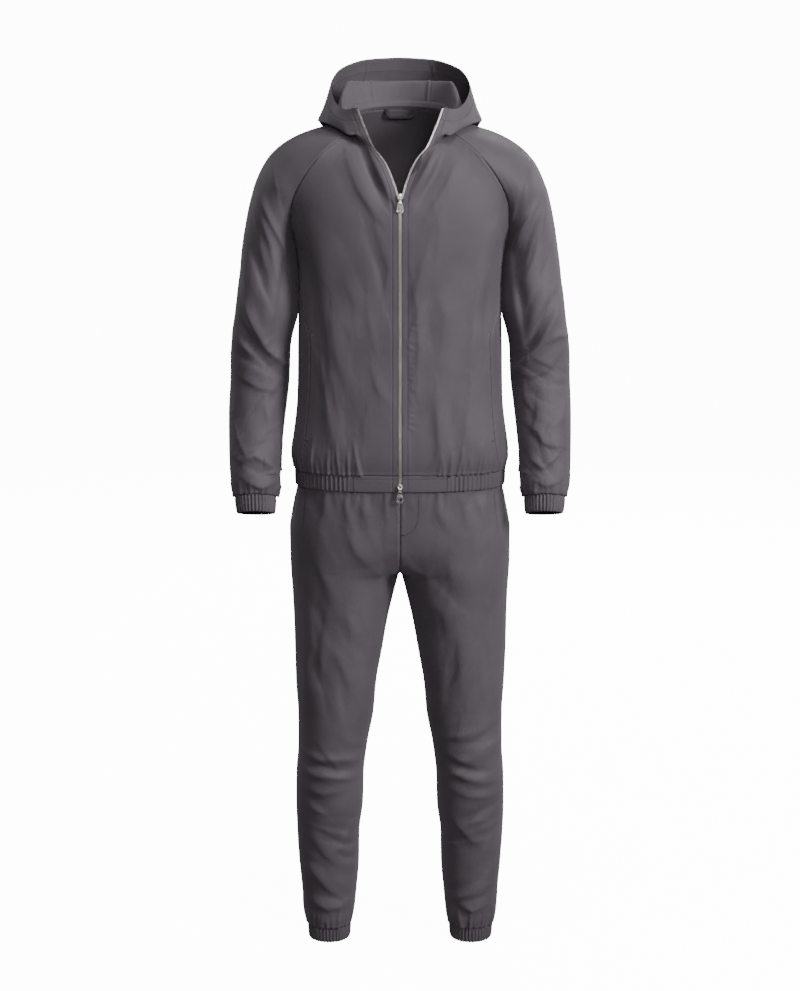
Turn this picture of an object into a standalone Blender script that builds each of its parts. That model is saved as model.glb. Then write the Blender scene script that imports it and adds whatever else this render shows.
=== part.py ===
"""Hooded tracksuit: a zipped raglan jacket with a three-panel hood, and cuffed trousers.

The front faces -Y, +Z is up and x = 0 is the mid plane, with the wearer's left at +X.
The origin is the neck base, where the wearer's shoulders carry the jacket.
Tables are in millimetres and the built meshes are in metres.
"""
import math

import bmesh
import bpy
import numpy as np

MM = 0.001

# Cloth and seams
CLOTH = 1.8
BAND = 2.6
SEAM = 0.16
GAP = 0.3

# Heights of the jacket and trousers
HEM_BOTTOM = -671.0
HEM_TOP = -642.0
UNDERARM = -262.0
CUFF_DROP = 30.0
WAIST_TOP = -545.0
WAIST_BOTTOM = -585.0
HIP = -751.0
CROTCH = -834.0
ANKLE = -1504.0
ANKLE_BOTTOM = -1532.5

# Zip
CHAIN_HALF = 3.4
ZIP_HALF = 3.9
CHAIN_THICK = 2.2
TAPE_WIDE = 11.0
TAPE_THICK = 0.8
SLIDER_TOP_Z = -156.0
SLIDER_TOP_Y = -131.9
SLIDER_BOTTOM_Z = -662.0
SLIDER_BOTTOM_Y = -125.95

# Gathers round each elastic piece
HEM_GATHERS = 44
CUFF_GATHERS = 20
ANKLE_GATHERS = 22
GATHER_DEEP = 1.1

# Where the panels divide between low rings and upper rows
SPLIT = 0.6
SLEEVE_SPLIT = 0.68
LEG_KNOT = (0.0, 0.74, 0.82, 1.0)

# How square the body sections are, and how near the side seam its forward lean begins
SQUARE = 2.8
SEAM_BEND = 2.2

# Body rings: height, half width, front depth, back depth, side seam angle from the front
TRUNK = np.array([
    [-671.0, 188.4, 125.0, 112.0, 66.0],
    [-642.0, 189.2, 125.5, 112.5, 66.0],
    [-630.0, 194.0, 128.5, 116.0, 65.8],
    [-612.0, 194.6, 130.5, 118.5, 64.2],
    [-588.0, 192.4, 130.5, 118.5, 63.2],
    [-558.0, 187.4, 129.0, 116.0, 63.2],
    [-520.0, 183.4, 127.5, 113.0, 62.8],
    [-440.0, 182.5, 127.0, 112.0, 61.8],
    [-412.0, 182.2, 127.0, 112.5, 61.5],
    [-360.0, 181.2, 127.5, 114.5, 70.0],
    [-322.0, 180.3, 128.5, 116.5, 78.0],
    [-290.0, 180.6, 129.8, 117.5, 84.5],
    [-262.0, 182.0, 131.0, 118.5, 90.0],
])

# Zip edge of the front above the underarm, and its handle along the row
ZIP_EDGE = np.array([
    [3.9, -131.0, -262.0, 62.0, 0.0, 0.0],
    [3.9, -132.5, -236.0, 62.0, 0.0, 0.0],
    [3.9, -133.5, -210.0, 69.0, -2.0, 0.0],
    [3.9, -133.0, -186.0, 82.0, -2.0, 0.0],
    [4.2, -131.5, -166.0, 82.0, -2.0, 2.0],
    [8.0, -128.5, -147.0, 71.0, -2.0, 4.0],
    [15.5, -123.5, -124.0, 56.0, -2.0, 7.0],
    [24.5, -118.0, -103.0, 42.0, 0.0, 6.0],
    [35.5, -112.8, -86.0, 26.0, 4.0, 4.0],
    [47.5, -107.0, -73.0, 15.0, 6.0, 2.0],
])

# Front raglan seam: point, handle into the body, handle into the sleeve
RAGLAN_FRONT = np.array([
    [182.0, 0.0, -262.0, 0.0, -134.0, 0.0, 0.0, -95.0, 0.0],
    [188.0, -28.0, -233.0, -3.0, -98.0, -1.0, 2.0, -66.0, 0.0],
    [191.5, -53.0, -201.0, -12.0, -64.0, -4.0, 12.0, -40.0, 2.0],
    [188.0, -73.0, -170.0, -28.0, -39.0, -8.0, 24.0, -24.0, 6.0],
    [176.5, -87.0, -141.0, -42.0, -23.0, -12.0, 32.0, -12.0, 10.0],
    [160.0, -94.5, -114.0, -45.0, -15.0, -14.0, 38.0, 0.0, 14.0],
    [140.0, -97.5, -88.0, -40.0, -10.0, -16.0, 36.0, 14.0, 16.0],
    [118.0, -88.0, -67.0, -32.0, -12.0, -12.0, 28.0, 20.0, 12.0],
    [99.0, -72.0, -54.0, -22.0, -16.0, -10.0, 16.0, 20.0, 8.0],
    [84.0, -54.0, -45.0, -6.0, -15.0, -8.0, 3.0, 12.0, 5.0],
])

# Back raglan seam: point, handle into the back, handle into the sleeve
RAGLAN_BACK = np.array([
    [182.0, 0.0, -262.0, 0.0, 130.0, 0.0, 0.0, 95.0, 0.0],
    [188.0, 30.0, -233.0, -3.0, 91.0, -1.0, 2.0, 64.0, 0.0],
    [190.0, 58.0, -200.0, -14.0, 57.0, -4.0, 12.0, 38.0, 2.0],
    [182.0, 81.0, -166.0, -30.0, 29.0, -6.0, 24.0, 22.0, 8.0],
    [168.0, 96.0, -134.0, -42.0, 14.0, -8.0, 32.0, 10.0, 14.0],
    [150.0, 102.0, -104.0, -46.0, 8.0, -8.0, 38.0, -2.0, 18.0],
    [129.0, 98.5, -77.0, -40.0, 8.0, -4.0, 34.0, -14.0, 16.0],
    [108.0, 86.0, -52.0, -32.0, 12.0, 0.0, 26.0, -22.0, 10.0],
    [91.0, 63.0, -33.0, -24.0, 16.0, 3.0, 14.0, -18.0, 4.0],
    [77.0, 36.0, -17.0, -12.0, 26.0, 4.0, 3.0, -14.0, -4.0],
])

# Top line of the shoulder and arm: point, front handle, back handle
OVERARM = np.array([
    [281.0, 0.0, -262.0, 0.0, -95.0, 0.0, 0.0, 95.0, 0.0],
    [279.0, 0.0, -238.0, 0.0, -88.0, 0.0, 0.0, 88.0, 0.0],
    [274.5, 0.0, -210.0, 0.0, -80.0, -2.0, 0.0, 82.0, 0.0],
    [267.5, 0.0, -172.0, 0.0, -70.0, -6.0, 0.0, 74.0, 0.0],
    [257.5, 0.0, -138.0, 0.0, -60.0, -10.0, 0.0, 66.0, -2.0],
    [242.5, 0.0, -97.0, -2.0, -50.0, -14.0, -2.0, 56.0, -4.0],
    [213.0, 0.0, -68.0, -4.0, -42.0, -16.0, -3.0, 46.0, -5.0],
    [172.0, -2.0, -46.5, -4.0, -34.0, -12.0, -3.0, 38.0, -3.0],
    [131.0, -8.0, -35.0, -2.0, -24.0, -8.0, -1.0, 26.0, 2.0],
    [88.5, -14.0, -30.5, 0.0, -14.0, -5.0, 0.0, 16.0, 4.5],
])

# Centre back above the underarm, and its handle along the row
CENTRE_BACK = np.array([
    [0.0, 118.5, -262.0, 45.0, 0.0, 0.0],
    [0.0, 119.5, -230.0, 44.0, 0.0, 0.0],
    [0.0, 120.0, -198.0, 52.0, 0.0, 0.0],
    [0.0, 119.0, -165.0, 74.0, 0.0, 0.0],
    [0.0, 117.0, -133.0, 82.0, 0.0, 0.0],
    [0.0, 113.0, -103.0, 76.0, 0.0, 0.0],
    [0.0, 107.5, -74.0, 64.0, 0.0, 0.0],
    [0.0, 101.0, -49.0, 50.0, 0.0, 0.0],
    [0.0, 93.0, -27.0, 40.0, 0.0, 0.0],
    [0.0, 85.5, -8.5, 34.0, 0.0, 0.0],
])

# Sleeve rings: height, middle x, half width, middle y, half depth, lean in degrees
SLEEVE = np.array([
    [-688.0, 257.0, 37.5, -66.0, 42.0, 15.5],
    [-677.0, 257.2, 43.6, -63.0, 49.0, 14.0],
    [-634.0, 258.0, 46.0, -50.0, 53.0, 12.0],
    [-583.0, 257.0, 48.4, -34.0, 57.0, 10.0],
    [-531.0, 254.2, 51.0, -18.0, 61.0, 8.0],
    [-479.0, 250.0, 52.8, -6.0, 63.0, 4.0],
    [-426.0, 248.5, 53.6, -6.0, 66.0, 0.0],
    [-399.0, 243.6, 54.0, -10.0, 68.0, 0.0],
    [-371.0, 238.2, 56.0, -14.0, 70.0, 0.0],
    [-318.0, 234.8, 53.6, -12.0, 71.5, 0.0],
    [-290.0, 232.8, 51.2, -5.0, 71.5, 0.0],
    [-262.0, 231.5, 49.5, 0.0, 71.3, 0.0],
])

# Hood stations from the zip edge to the centre back: place, then crest, inner wall,
# lowest point, belly and rim
HOOD = np.array([
    [0.00, 54.5, -102, -59, 60.5, -97, -45.5, 66.5, -91.5, -31.5, 71.5, -86, -18.5, 77, -80, -5],
    [0.15, 72, -93, -54, 79, -92, -50, 87, -88, -51, 93, -79, -34, 93, -62, -8.5],
    [0.30, 86, -63, -35, 95, -64, -34, 107, -64, -41, 112, -56, -24, 104, -40, -5],
    [0.42, 97, -30, -14, 107, -33, -24, 128, -36, -33, 127, -26, -14, 118, -4, 11],
    [0.55, 101, 14, 8, 114, 12, -16, 144, 6, -30, 136, 20, -6, 124, 40, 31],
    [0.70, 90, 52, 37.5, 104, 64, -22, 126, 98, -62, 131, 106, -14, 112, 98, 57],
    [0.85, 54, 82, 38.2, 60, 116, -44, 72, 156, -126, 84, 178, -52, 59, 153, 78],
    [1.00, 0, 94, 37.5, 0, 124, -55, 0, 164, -143, 0, 194, -56, 0, 165, 82],
])
HOOD_STEPS = np.array([0.0, 0.13, 0.33, 0.56, 0.78, 1.0])
HOOD_PANEL = 0.855
HOOD_COLUMNS = np.array([
    0.0, 0.075, 0.15, 0.225, 0.3, 0.36, 0.42, 0.485, 0.55, 0.6, 0.65, 0.7, 0.775, HOOD_PANEL,
])

# Trouser hips: height, half width, front depth, back depth
HIPS = np.array([
    [-751.0, 199.0, 118.5, 112.0],
    [-721.0, 194.0, 119.5, 111.0],
    [-695.0, 188.4, 120.4, 110.0],
    [-677.0, 183.8, 120.8, 107.8],
    [-671.0, 183.5, 120.8, 107.6],
    [-642.0, 183.3, 120.6, 107.4],
    [-620.0, 176.0, 114.0, 105.0],
    [-585.3, 160.0, 103.0, 98.0],
])

# Rise, from the crotch up to the hip: inner front point, its handle, inner back point,
# its handle, outer point, its front handle and back handle in y
RISE = np.array([
    [0.0, 4, -834, 0, -142.7, 0, 0.0, 4, -834, 0, 134.7, 0, 197.5, 4, -834, -142.7, 134.7],
    [0.0, -66, -828, 12, -52, 0, 0.0, 62, -828, 8, 60, 0, 198.0, 2, -821, -140, 134],
    [0.0, -101, -806, 20, -12, 0, 0.0, 95, -808, 12, 19, 0, 198.3, 1, -800, -138, 133],
    [0.0, -114, -780, 25, -2, 0, 0.0, 108, -782, 14, 4, 0, 198.6, 0, -776, -136, 132],
    [0.0, -118.5, -751, 28, 0, 0, 0.0, 112, -751, 15, 0, 0, 199.0, 0, -751, -135, 131],
])

# Leg rings: height, inner x, outer x, middle y, front depth, back depth
LEG = np.array([
    [-1504.0, 91.0, 172.5, 5.0, 45.0, 46.0],
    [-1494.0, 88.0, 175.5, 5.0, 49.0, 51.0],
    [-1474.0, 84.0, 180.0, 7.0, 54.0, 58.0],
    [-1444.0, 81.0, 181.5, 8.0, 58.0, 64.0],
    [-1386.0, 76.0, 186.5, 8.0, 64.0, 72.0],
    [-1328.0, 75.0, 190.0, 5.0, 68.0, 75.0],
    [-1270.0, 68.0, 191.5, 0.0, 72.0, 74.0],
    [-1213.0, 66.5, 190.5, -4.0, 74.0, 72.0],
    [-1155.0, 59.5, 187.0, -3.0, 77.0, 74.0],
    [-1098.0, 48.5, 187.0, 0.0, 82.0, 80.0],
    [-1042.0, 43.5, 190.5, 2.0, 87.0, 85.0],
    [-985.0, 33.5, 192.2, 3.0, 92.0, 90.0],
    [-929.0, 23.5, 193.0, 4.0, 98.0, 95.0],
    [-873.0, 10.5, 195.0, 4.0, 103.0, 99.0],
    [-834.0, 0.0, 197.5, 4.0, 107.0, 101.0],
])

# Largest folds: side (-1 or 1), face (-1 front, 1 back), start x and z, end x and z,
# half width, height (less than 0 for a hollow)
FOLDS = (
    (-1, -1, -227, -95, -178, -239, 13, 4.0),
    (-1, -1, -244, -161, -206, -262, 13, 4.0),
    (-1, -1, -282, -314, -257, -388, 16, 4.5),
    (-1, -1, -262, -380, -198, -455, 17, 6.0),
    (-1, -1, -240, -345, -196, -420, 18, -4.5),
    (-1, -1, -300, -532, -271, -609, 12, 3.5),
    (-1, -1, -290, -618, -226, -632, 12, 4.0),
    (1, -1, 233, -101, 187, -232, 13, 4.0),
    (1, -1, 242, -164, 204, -250, 13, 4.0),
    (1, -1, 286, -321, 245, -414, 16, 4.5),
    (1, -1, 262, -395, 202, -462, 17, 6.0),
    (1, -1, 244, -350, 205, -425, 18, -4.5),
    (1, -1, 225, -558, 262, -590, 12, 3.5),
    (1, -1, 232, -616, 280, -608, 12, 3.5),
    (-1, 1, -285, -400, -215, -440, 13, 5.0),
    (-1, 1, -290, -455, -220, -430, 13, -4.0),
    (-1, 1, -190, -230, -235, -330, 13, 4.0),
    (1, 1, 285, -410, 215, -446, 13, 5.0),
    (1, 1, 290, -462, 222, -440, 13, -4.0),
    (1, 1, 190, -225, 240, -325, 13, 4.0),
    (-1, -1, -165, -1166, -110, -1182, 13, 4.0),
    (-1, -1, -150, -1200, -92, -1209, 13, 4.5),
    (-1, -1, -173, -1379, -119, -1437, 15, 4.0),
    (-1, -1, -93, -893, -83, -963, 15, 3.0),
    (1, -1, 88, -1164, 140, -1180, 13, 4.0),
    (1, -1, 98, -1199, 150, -1214, 13, 4.5),
    (1, -1, 91, -1284, 146, -1341, 15, 3.5),
    (1, -1, 30, -797, 100, -826, 13, -3.5),
    (1, -1, 46, -840, 104, -866, 13, -3.0),
    (-1, 1, -170, -1178, -90, -1190, 14, -4.5),
    (-1, 1, -165, -1215, -95, -1225, 14, 4.0),
    (1, 1, 88, -1182, 168, -1194, 14, -4.5),
    (1, 1, 96, -1220, 166, -1230, 14, 4.0),
    (-1, 1, -40, -852, -130, -880, 15, 3.5),
    (1, 1, 42, -850, 130, -884, 15, 3.5),
)


def curve(table, t):
    """A smooth line through a table's rows that keeps within them. Column 0 is the place."""
    keys = table[:, 0]
    rows = table[:, 1:]
    t = np.clip(np.asarray(t, float), keys[0], keys[-1])
    step = np.diff(keys)[:, None]
    slope = np.diff(rows, axis=0) / step
    tangent = np.zeros_like(rows)
    same = slope[:-1] * slope[1:] > 0
    total = slope[:-1] + slope[1:]
    total = np.where(np.abs(total) < 1e-12, 1.0, total)
    tangent[1:-1] = np.where(same, 2 * slope[:-1] * slope[1:] / total, 0.0)
    tangent[0] = slope[0]
    tangent[-1] = slope[-1]
    k = np.clip(np.searchsorted(keys, t, side="right") - 1, 0, len(keys) - 2)
    h = (keys[k + 1] - keys[k])[..., None]
    s = ((t - keys[k]) / (keys[k + 1] - keys[k]))[..., None]
    return (
        rows[k] * (2 * s**3 - 3 * s**2 + 1)
        + tangent[k] * h * (s**3 - 2 * s**2 + s)
        + rows[k + 1] * (3 * s**2 - 2 * s**3)
        + tangent[k + 1] * h * (s**3 - s**2)
    )


def evenly(table, t):
    """The same line through a table whose rows are evenly spaced from 0 to 1."""
    keys = np.linspace(0.0, 1.0, len(table))[:, None]
    return curve(np.hstack([keys, table]), t)


def arc(start, start_handle, end, end_handle, u):
    """A bent row between two points, with a handle at each."""
    u = np.asarray(u, float)[..., None]
    a = start + start_handle
    b = end + end_handle
    return (
        start * (1 - u) ** 3
        + 3 * a * u * (1 - u) ** 2
        + 3 * b * u**2 * (1 - u)
        + end * u**3
    )


def ring(angle, wide, front, back):
    """A point of a rounded body section, at an angle from the front towards +X."""
    sine = np.abs(np.sin(angle))
    cosine = np.cos(angle)
    deep = np.where(cosine > 0, front, back)
    far = ((sine / wide) ** SQUARE + (np.abs(cosine) / deep) ** SQUARE) ** (-1 / SQUARE)
    return far * np.sin(angle), -far * cosine


def stack(x, y, z):
    return np.stack([x, y, z + 0 * x], axis=-1)


def front_low(u, z):
    row = curve(TRUNK, z)
    start = np.arctan2(ZIP_HALF, row[..., 1])
    quarter = math.pi / 2
    angle = start + (quarter - start) * u - (quarter - np.radians(row[..., 3])) * u**SEAM_BEND
    x, y = ring(angle, row[..., 0], row[..., 1], row[..., 2])
    return stack(x, y, z)


def front_high(u, w):
    edge = evenly(ZIP_EDGE, w)
    seam = evenly(RAGLAN_FRONT, w)
    return arc(edge[..., :3], edge[..., 3:], seam[..., :3], seam[..., 3:6], u)


def fading(w, far):
    return np.clip(1 - w / far, 0, 1)[..., None] ** 2


def front(u, v):
    """Front panel, from the zip edge (u 0) to the side or raglan seam, hem to neck."""
    u, v = np.broadcast_arrays(np.asarray(u, float), np.asarray(v, float))
    low = np.clip(v / SPLIT, 0, 1)
    w = np.clip((v - SPLIT) / (1 - SPLIT), 0, 1)
    bottom = front_low(u, HEM_TOP + (UNDERARM - HEM_TOP) * low)
    zero = 0 * w
    fix = front_low(u, UNDERARM + zero) - front_high(u, zero)
    top = front_high(u, w) + fix * fading(w, 0.5)
    return np.where((v < SPLIT)[..., None], bottom, top)


def back_low(u, z):
    row = curve(TRUNK, z)
    quarter = math.pi / 2
    angle = quarter + quarter * u - (quarter - np.radians(row[..., 3])) * (1 - u) ** SEAM_BEND
    x, y = ring(angle, row[..., 0], row[..., 1], row[..., 2])
    return stack(x, y, z)


def back_high(u, w):
    middle = evenly(CENTRE_BACK, w)
    seam = evenly(RAGLAN_BACK, w)
    return arc(seam[..., :3], seam[..., 3:6], middle[..., :3], middle[..., 3:], u)


def half_back(u, v):
    low = np.clip(v / SPLIT, 0, 1)
    w = np.clip((v - SPLIT) / (1 - SPLIT), 0, 1)
    bottom = back_low(u, HEM_TOP + (UNDERARM - HEM_TOP) * low)
    zero = 0 * w
    fix = back_low(u, UNDERARM + zero) - back_high(u, zero)
    top = back_high(u, w) + fix * fading(w, 0.5)
    return np.where((v < SPLIT)[..., None], bottom, top)


def back(u, v):
    """Back panel, from the seam at +X (u 0) to the one at -X (u 1), hem to neck."""
    u, v = np.broadcast_arrays(np.asarray(u, float), np.asarray(v, float))
    half = half_back(1 - np.abs(1 - 2 * u), v)
    half[..., 0] = np.where(u > 0.5, -half[..., 0], half[..., 0])
    return half


def tube(u, row, face):
    """Half of a sleeve ring, from its inner point to its outer one, on one face."""
    lean = np.tan(np.radians(row[..., 5]))
    zero = 0 * lean
    inner = stack(row[..., 1] - row[..., 2], row[..., 3], row[..., 0])
    outer = stack(row[..., 1] + row[..., 2], row[..., 3], row[..., 0])
    deep = face * row[..., 4] * 4 / 3
    handle = stack(zero, deep, -deep * lean)
    return arc(inner, handle, outer, handle, u)


def sleeve_low(u, z, face):
    row = curve(SLEEVE, z)
    return tube(u, np.concatenate([(z + 0 * row[..., 0])[..., None], row], axis=-1), face)


def sleeve(u, v, face):
    """Sleeve half, from the underarm or raglan seam (u 0) to the overarm line, cuff to neck."""
    u, v = np.broadcast_arrays(np.asarray(u, float), np.asarray(v, float))
    low = np.clip(v / SLEEVE_SPLIT, 0, 1)
    w = np.clip((v - SLEEVE_SPLIT) / (1 - SLEEVE_SPLIT), 0, 1)
    z = SLEEVE[0, 0] + (UNDERARM - SLEEVE[0, 0]) * low
    seam = evenly(RAGLAN_FRONT if face < 0 else RAGLAN_BACK, w)
    top = evenly(OVERARM, w)
    side = top[..., 3:6] if face < 0 else top[..., 6:9]
    high = arc(seam[..., :3], seam[..., 6:9], top[..., :3], side, u)
    return np.where((v < SLEEVE_SPLIT)[..., None], sleeve_low(u, z, face), high)


def sleeve_front(u, v):
    return sleeve(u, v, -1)


def sleeve_back(u, v):
    return sleeve(u, v, 1)


def neck(s):
    """The neck seam, from the zip (0) to the centre back (1)."""
    one = np.ones_like(s)
    parts = (
        (0.0, 0.34, front, False),
        (0.34, 0.5, sleeve_front, False),
        (0.5, 0.72, sleeve_back, True),
        (0.72, 1.0, half_back, False),
    )
    out = np.zeros(s.shape + (3,))
    for start, end, surface, turned in parts:
        t = np.clip((s - start) / (end - start), 0, 1)
        p = surface(1 - t if turned else t, one)
        inside = ((s >= start) & (s <= end))[..., None]
        out = np.where(inside, p, out)
    return out


def hood(s, v):
    """Hood, from the zip edge (s 0) to the centre back (s 1), neck seam to rim."""
    s, v = np.broadcast_arrays(np.asarray(s, float), np.asarray(v, float))
    rows = curve(HOOD, s)
    foot = neck(s) + np.array([0.0, 0.0, 0.45])
    knots = np.stack([foot] + [rows[..., 3 * k:3 * k + 3] for k in range(5)], axis=-2)
    k = np.clip(np.searchsorted(HOOD_STEPS, v, side="right") - 1, 0, 4)
    width = HOOD_STEPS[k + 1] - HOOD_STEPS[k]
    t = ((v - HOOD_STEPS[k]) / width)[..., None]

    def pick(i):
        i = np.clip(i, 0, 5)
        return np.take_along_axis(knots, i[..., None, None], axis=-2)[..., 0, :]

    def bend(i):
        before = HOOD_STEPS[np.clip(i - 1, 0, 5)]
        after = HOOD_STEPS[np.clip(i + 1, 0, 5)]
        return (pick(i + 1) - pick(i - 1)) / (after - before)[..., None]

    h = width[..., None]
    return (
        pick(k) * (2 * t**3 - 3 * t**2 + 1)
        + bend(k) * h * (t**3 - 2 * t**2 + t)
        + pick(k + 1) * (3 * t**2 - 2 * t**3)
        + bend(k + 1) * h * (t**3 - t**2)
    )


def hip_ring(u, z, face):
    row = curve(HIPS, z)
    angle = math.pi / 2 * u if face < 0 else math.pi - math.pi / 2 * u
    x, y = ring(angle, row[..., 0], row[..., 1], row[..., 2])
    return stack(x, y, z)


def rise_row(u, w, face):
    row = evenly(RISE, w)
    k = 0 if face < 0 else 6
    side = row[..., 15] if face < 0 else row[..., 16]
    zero = 0 * side
    return arc(
        row[..., k:k + 3], row[..., k + 3:k + 6], row[..., 12:15], stack(zero, side, zero), u
    )


def leg_ring(u, z, face):
    row = curve(LEG, z)
    zero = 0 * row[..., 0]
    inner = stack(row[..., 0], row[..., 2], z)
    outer = stack(row[..., 1], row[..., 2], z)
    deep = -row[..., 3] if face < 0 else row[..., 4]
    handle = stack(zero, deep * 4 / 3, zero)
    return arc(inner, handle, outer, handle, u)


def leg(u, v, face):
    """Trouser panel, from the inside leg or middle seam (u 0) to the outer seam."""
    u, v = np.broadcast_arrays(np.asarray(u, float), np.asarray(v, float))
    z = np.interp(v, LEG_KNOT, (ANKLE, CROTCH, HIP, WAIST_BOTTOM - 0.3))
    w = np.clip((v - LEG_KNOT[1]) / (LEG_KNOT[2] - LEG_KNOT[1]), 0, 1)
    low = leg_ring(u, np.minimum(z, CROTCH), face)
    one = np.ones_like(w)
    fix = hip_ring(u, HIP * one, face) - rise_row(u, one, face)
    middle = rise_row(u, w, face) + fix * fading(1 - w, 0.9)
    high = hip_ring(u, np.maximum(z, HIP), face)
    out = np.where((v < LEG_KNOT[1])[..., None], low, middle)
    return np.where((v > LEG_KNOT[2])[..., None], high, out)


def leg_front(u, v):
    return leg(u, v, -1)


def leg_back(u, v):
    return leg(u, v, 1)


def normals(surface, u, v, sign):
    """Unit outward directions of a surface."""
    u, v = np.broadcast_arrays(np.asarray(u, float), np.asarray(v, float))
    d = 2e-3
    u0 = np.clip(u - d, 0, 1)
    u1 = np.clip(u + d, 0, 1)
    v0 = np.clip(v - d, 0, 1)
    v1 = np.clip(v + d, 0, 1)
    n = np.cross(surface(u1, v) - surface(u0, v), surface(u, v1) - surface(u, v0)) * sign
    return n / np.maximum(np.linalg.norm(n, axis=-1, keepdims=True), 1e-9)


def shifted(surface, sign, out):
    """The same surface moved outwards by a distance."""
    def moved(u, v):
        return surface(u, v) + normals(surface, u, v, sign) * out
    return moved


def folded(p, n, side, share=1.0):
    """Points moved along their outward directions by the folds of one side."""
    q = p.copy()
    q[..., 0] = q[..., 0] * side
    rise = np.zeros(p.shape[:-1])
    for fold_side, face, x0, z0, x1, z1, half, high in FOLDS:
        if fold_side != side:
            continue
        d = np.array([x1 - x0, z1 - z0], float)
        length = np.linalg.norm(d)
        d = d / length
        rel = q[..., [0, 2]] - np.array([x0, z0], float)
        along = rel @ d
        across = rel[..., 0] * d[1] - rel[..., 1] * d[0]
        ends = np.clip(np.minimum(along, length - along) / (0.25 * length) + 0.6, 0, 1)
        facing = np.clip(face * n[..., 1], 0, 1) ** 0.5
        rise += high * np.exp(-((across / half) ** 2)) * ends**2 * facing
    return p + n * (rise * share)[..., None]


def material(name, colour, metallic, roughness):
    made = bpy.data.materials.new(name)
    made.use_nodes = True
    shader = made.node_tree.nodes["Principled BSDF"]
    shader.inputs["Base Color"].default_value = (*colour, 1.0)
    shader.inputs["Metallic"].default_value = metallic
    shader.inputs["Roughness"].default_value = roughness
    return made


def solid(name, points, faces, kind, side=1):
    """One closed mesh from points in millimetres, mirrored for side -1."""
    points = np.array(points, float) * MM
    if side < 0:
        points[:, 0] = -points[:, 0]
        faces = [tuple(reversed(f)) for f in faces]
    mesh = bpy.data.meshes.new(name)
    mesh.from_pydata([tuple(p) for p in points], [], [tuple(int(i) for i in f) for f in faces])
    mesh.update()
    body = bpy.data.objects.new(name, mesh)
    bpy.context.scene.collection.objects.link(body)
    body.data.materials.append(material("mat_" + name, *kind))
    return body


def turned_quads(surface, us, vs, outer):
    """True for each quad whose other diagonal lies nearer the surface."""
    u, v = np.meshgrid((us[1:] + us[:-1]) / 2, (vs[1:] + vs[:-1]) / 2)
    middle = surface(u, v)
    first = (outer[:-1, :-1] + outer[1:, 1:]) / 2
    second = (outer[:-1, 1:] + outer[1:, :-1]) / 2
    a = np.linalg.norm(first - middle, axis=-1)
    b = np.linalg.norm(second - middle, axis=-1)
    return b < a


def skin(outer, inner, closed, sign, turned=None):
    """Points and triangles of a wall between two grids of rows and columns."""
    rows, columns = outer.shape[:2]
    points = np.concatenate([outer.reshape(-1, 3), inner.reshape(-1, 3)])
    shift = rows * columns
    faces = []

    def quad(a, b, c, d, other=False):
        one = ((a, b, d), (b, c, d)) if other else ((a, b, c), (a, c, d))
        for f in one:
            faces.append(f if sign > 0 else tuple(reversed(f)))

    last = columns if closed else columns - 1
    for i in range(rows - 1):
        for j in range(last):
            k = (j + 1) % columns
            a, b = i * columns + j, i * columns + k
            c, d = (i + 1) * columns + k, (i + 1) * columns + j
            other = turned is not None and turned[i, j]
            quad(a, b, c, d, other)
            quad(shift + b, shift + a, shift + d, shift + c, other)
    for j in range(last):
        k = (j + 1) % columns
        quad(shift + j, shift + k, k, j)
        top = (rows - 1) * columns
        quad(top + j, top + k, shift + top + k, shift + top + j)
    if not closed:
        for i in range(rows - 1):
            a, d = i * columns, (i + 1) * columns
            quad(shift + a, a, d, shift + d)
            b, c = a + columns - 1, d + columns - 1
            quad(b, shift + b, shift + c, c)
    return points, faces


def trim(grid, closed):
    """Border points drawn in by half the seam's gap."""
    out = grid.copy()

    def pull(a, b):
        d = b - a
        return a + d / np.maximum(np.linalg.norm(d, axis=-1, keepdims=True), 1e-9) * SEAM

    out[0] = pull(grid[0], grid[1])
    out[-1] = pull(grid[-1], grid[-2])
    if not closed:
        out[:, 0] = pull(out[:, 0], out[:, 1])
        out[:, -1] = pull(out[:, -1], out[:, -2])
    return out


def wall(name, surface, us, vs, thick, kind, sign=1, side=1, folds=False, share=(), closed=False):
    """A thin wall on a surface. share holds (column, function giving the other piece's normals)."""
    u, v = np.meshgrid(us, vs)
    outer = surface(u, v)
    turned = None if closed else turned_quads(surface, us, vs, outer)
    n = normals(surface, u, v, sign)
    still = np.ones(u.shape)
    for column, other in share:
        seam = np.linalg.norm(other(vs), axis=-1) > 0.5
        near = np.clip(np.abs(u - us[column]) / 0.2, 0, 1)
        still = np.where(seam[:, None], still * near, still)
        both = n[:, column] + other(vs)
        size = np.linalg.norm(both, axis=-1, keepdims=True)
        n[:, column] = np.where(size > 0.7, both / np.maximum(size, 1e-9), n[:, column])
    if folds:
        outer = folded(outer, n, side, still)
    inner = outer - n * thick
    points, faces = skin(trim(outer, closed), trim(inner, closed), closed, sign, turned)
    return solid(name, points, faces, kind, side)


def upper(split, other_split):
    """Maps a row of one panel above its split to the same row of its neighbour."""
    def same(v):
        return other_split + (1 - other_split) * np.clip((v - split) / (1 - split), 0, 1)
    return same


def seam_normals(surface, place, sign, split, other_split):
    """Normals of a neighbour at a raglan seam, and none below it."""
    same = upper(split, other_split)

    def at(vs):
        n = normals(surface, place + 0 * vs, same(vs), sign)
        return np.where((vs > split + 1e-6)[:, None], n, 0.0)
    return at


def edge_normals(surface, place, sign):
    """Normals of a neighbour all along one edge."""
    def at(vs):
        return normals(surface, place + 0 * vs, vs, sign)
    return at


def zip_line(part, count, start=0.0, end=1.0):
    """Rows along the zip edge of the front or of the hood."""
    return [(part, v) for v in np.linspace(start, end, count)]


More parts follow.
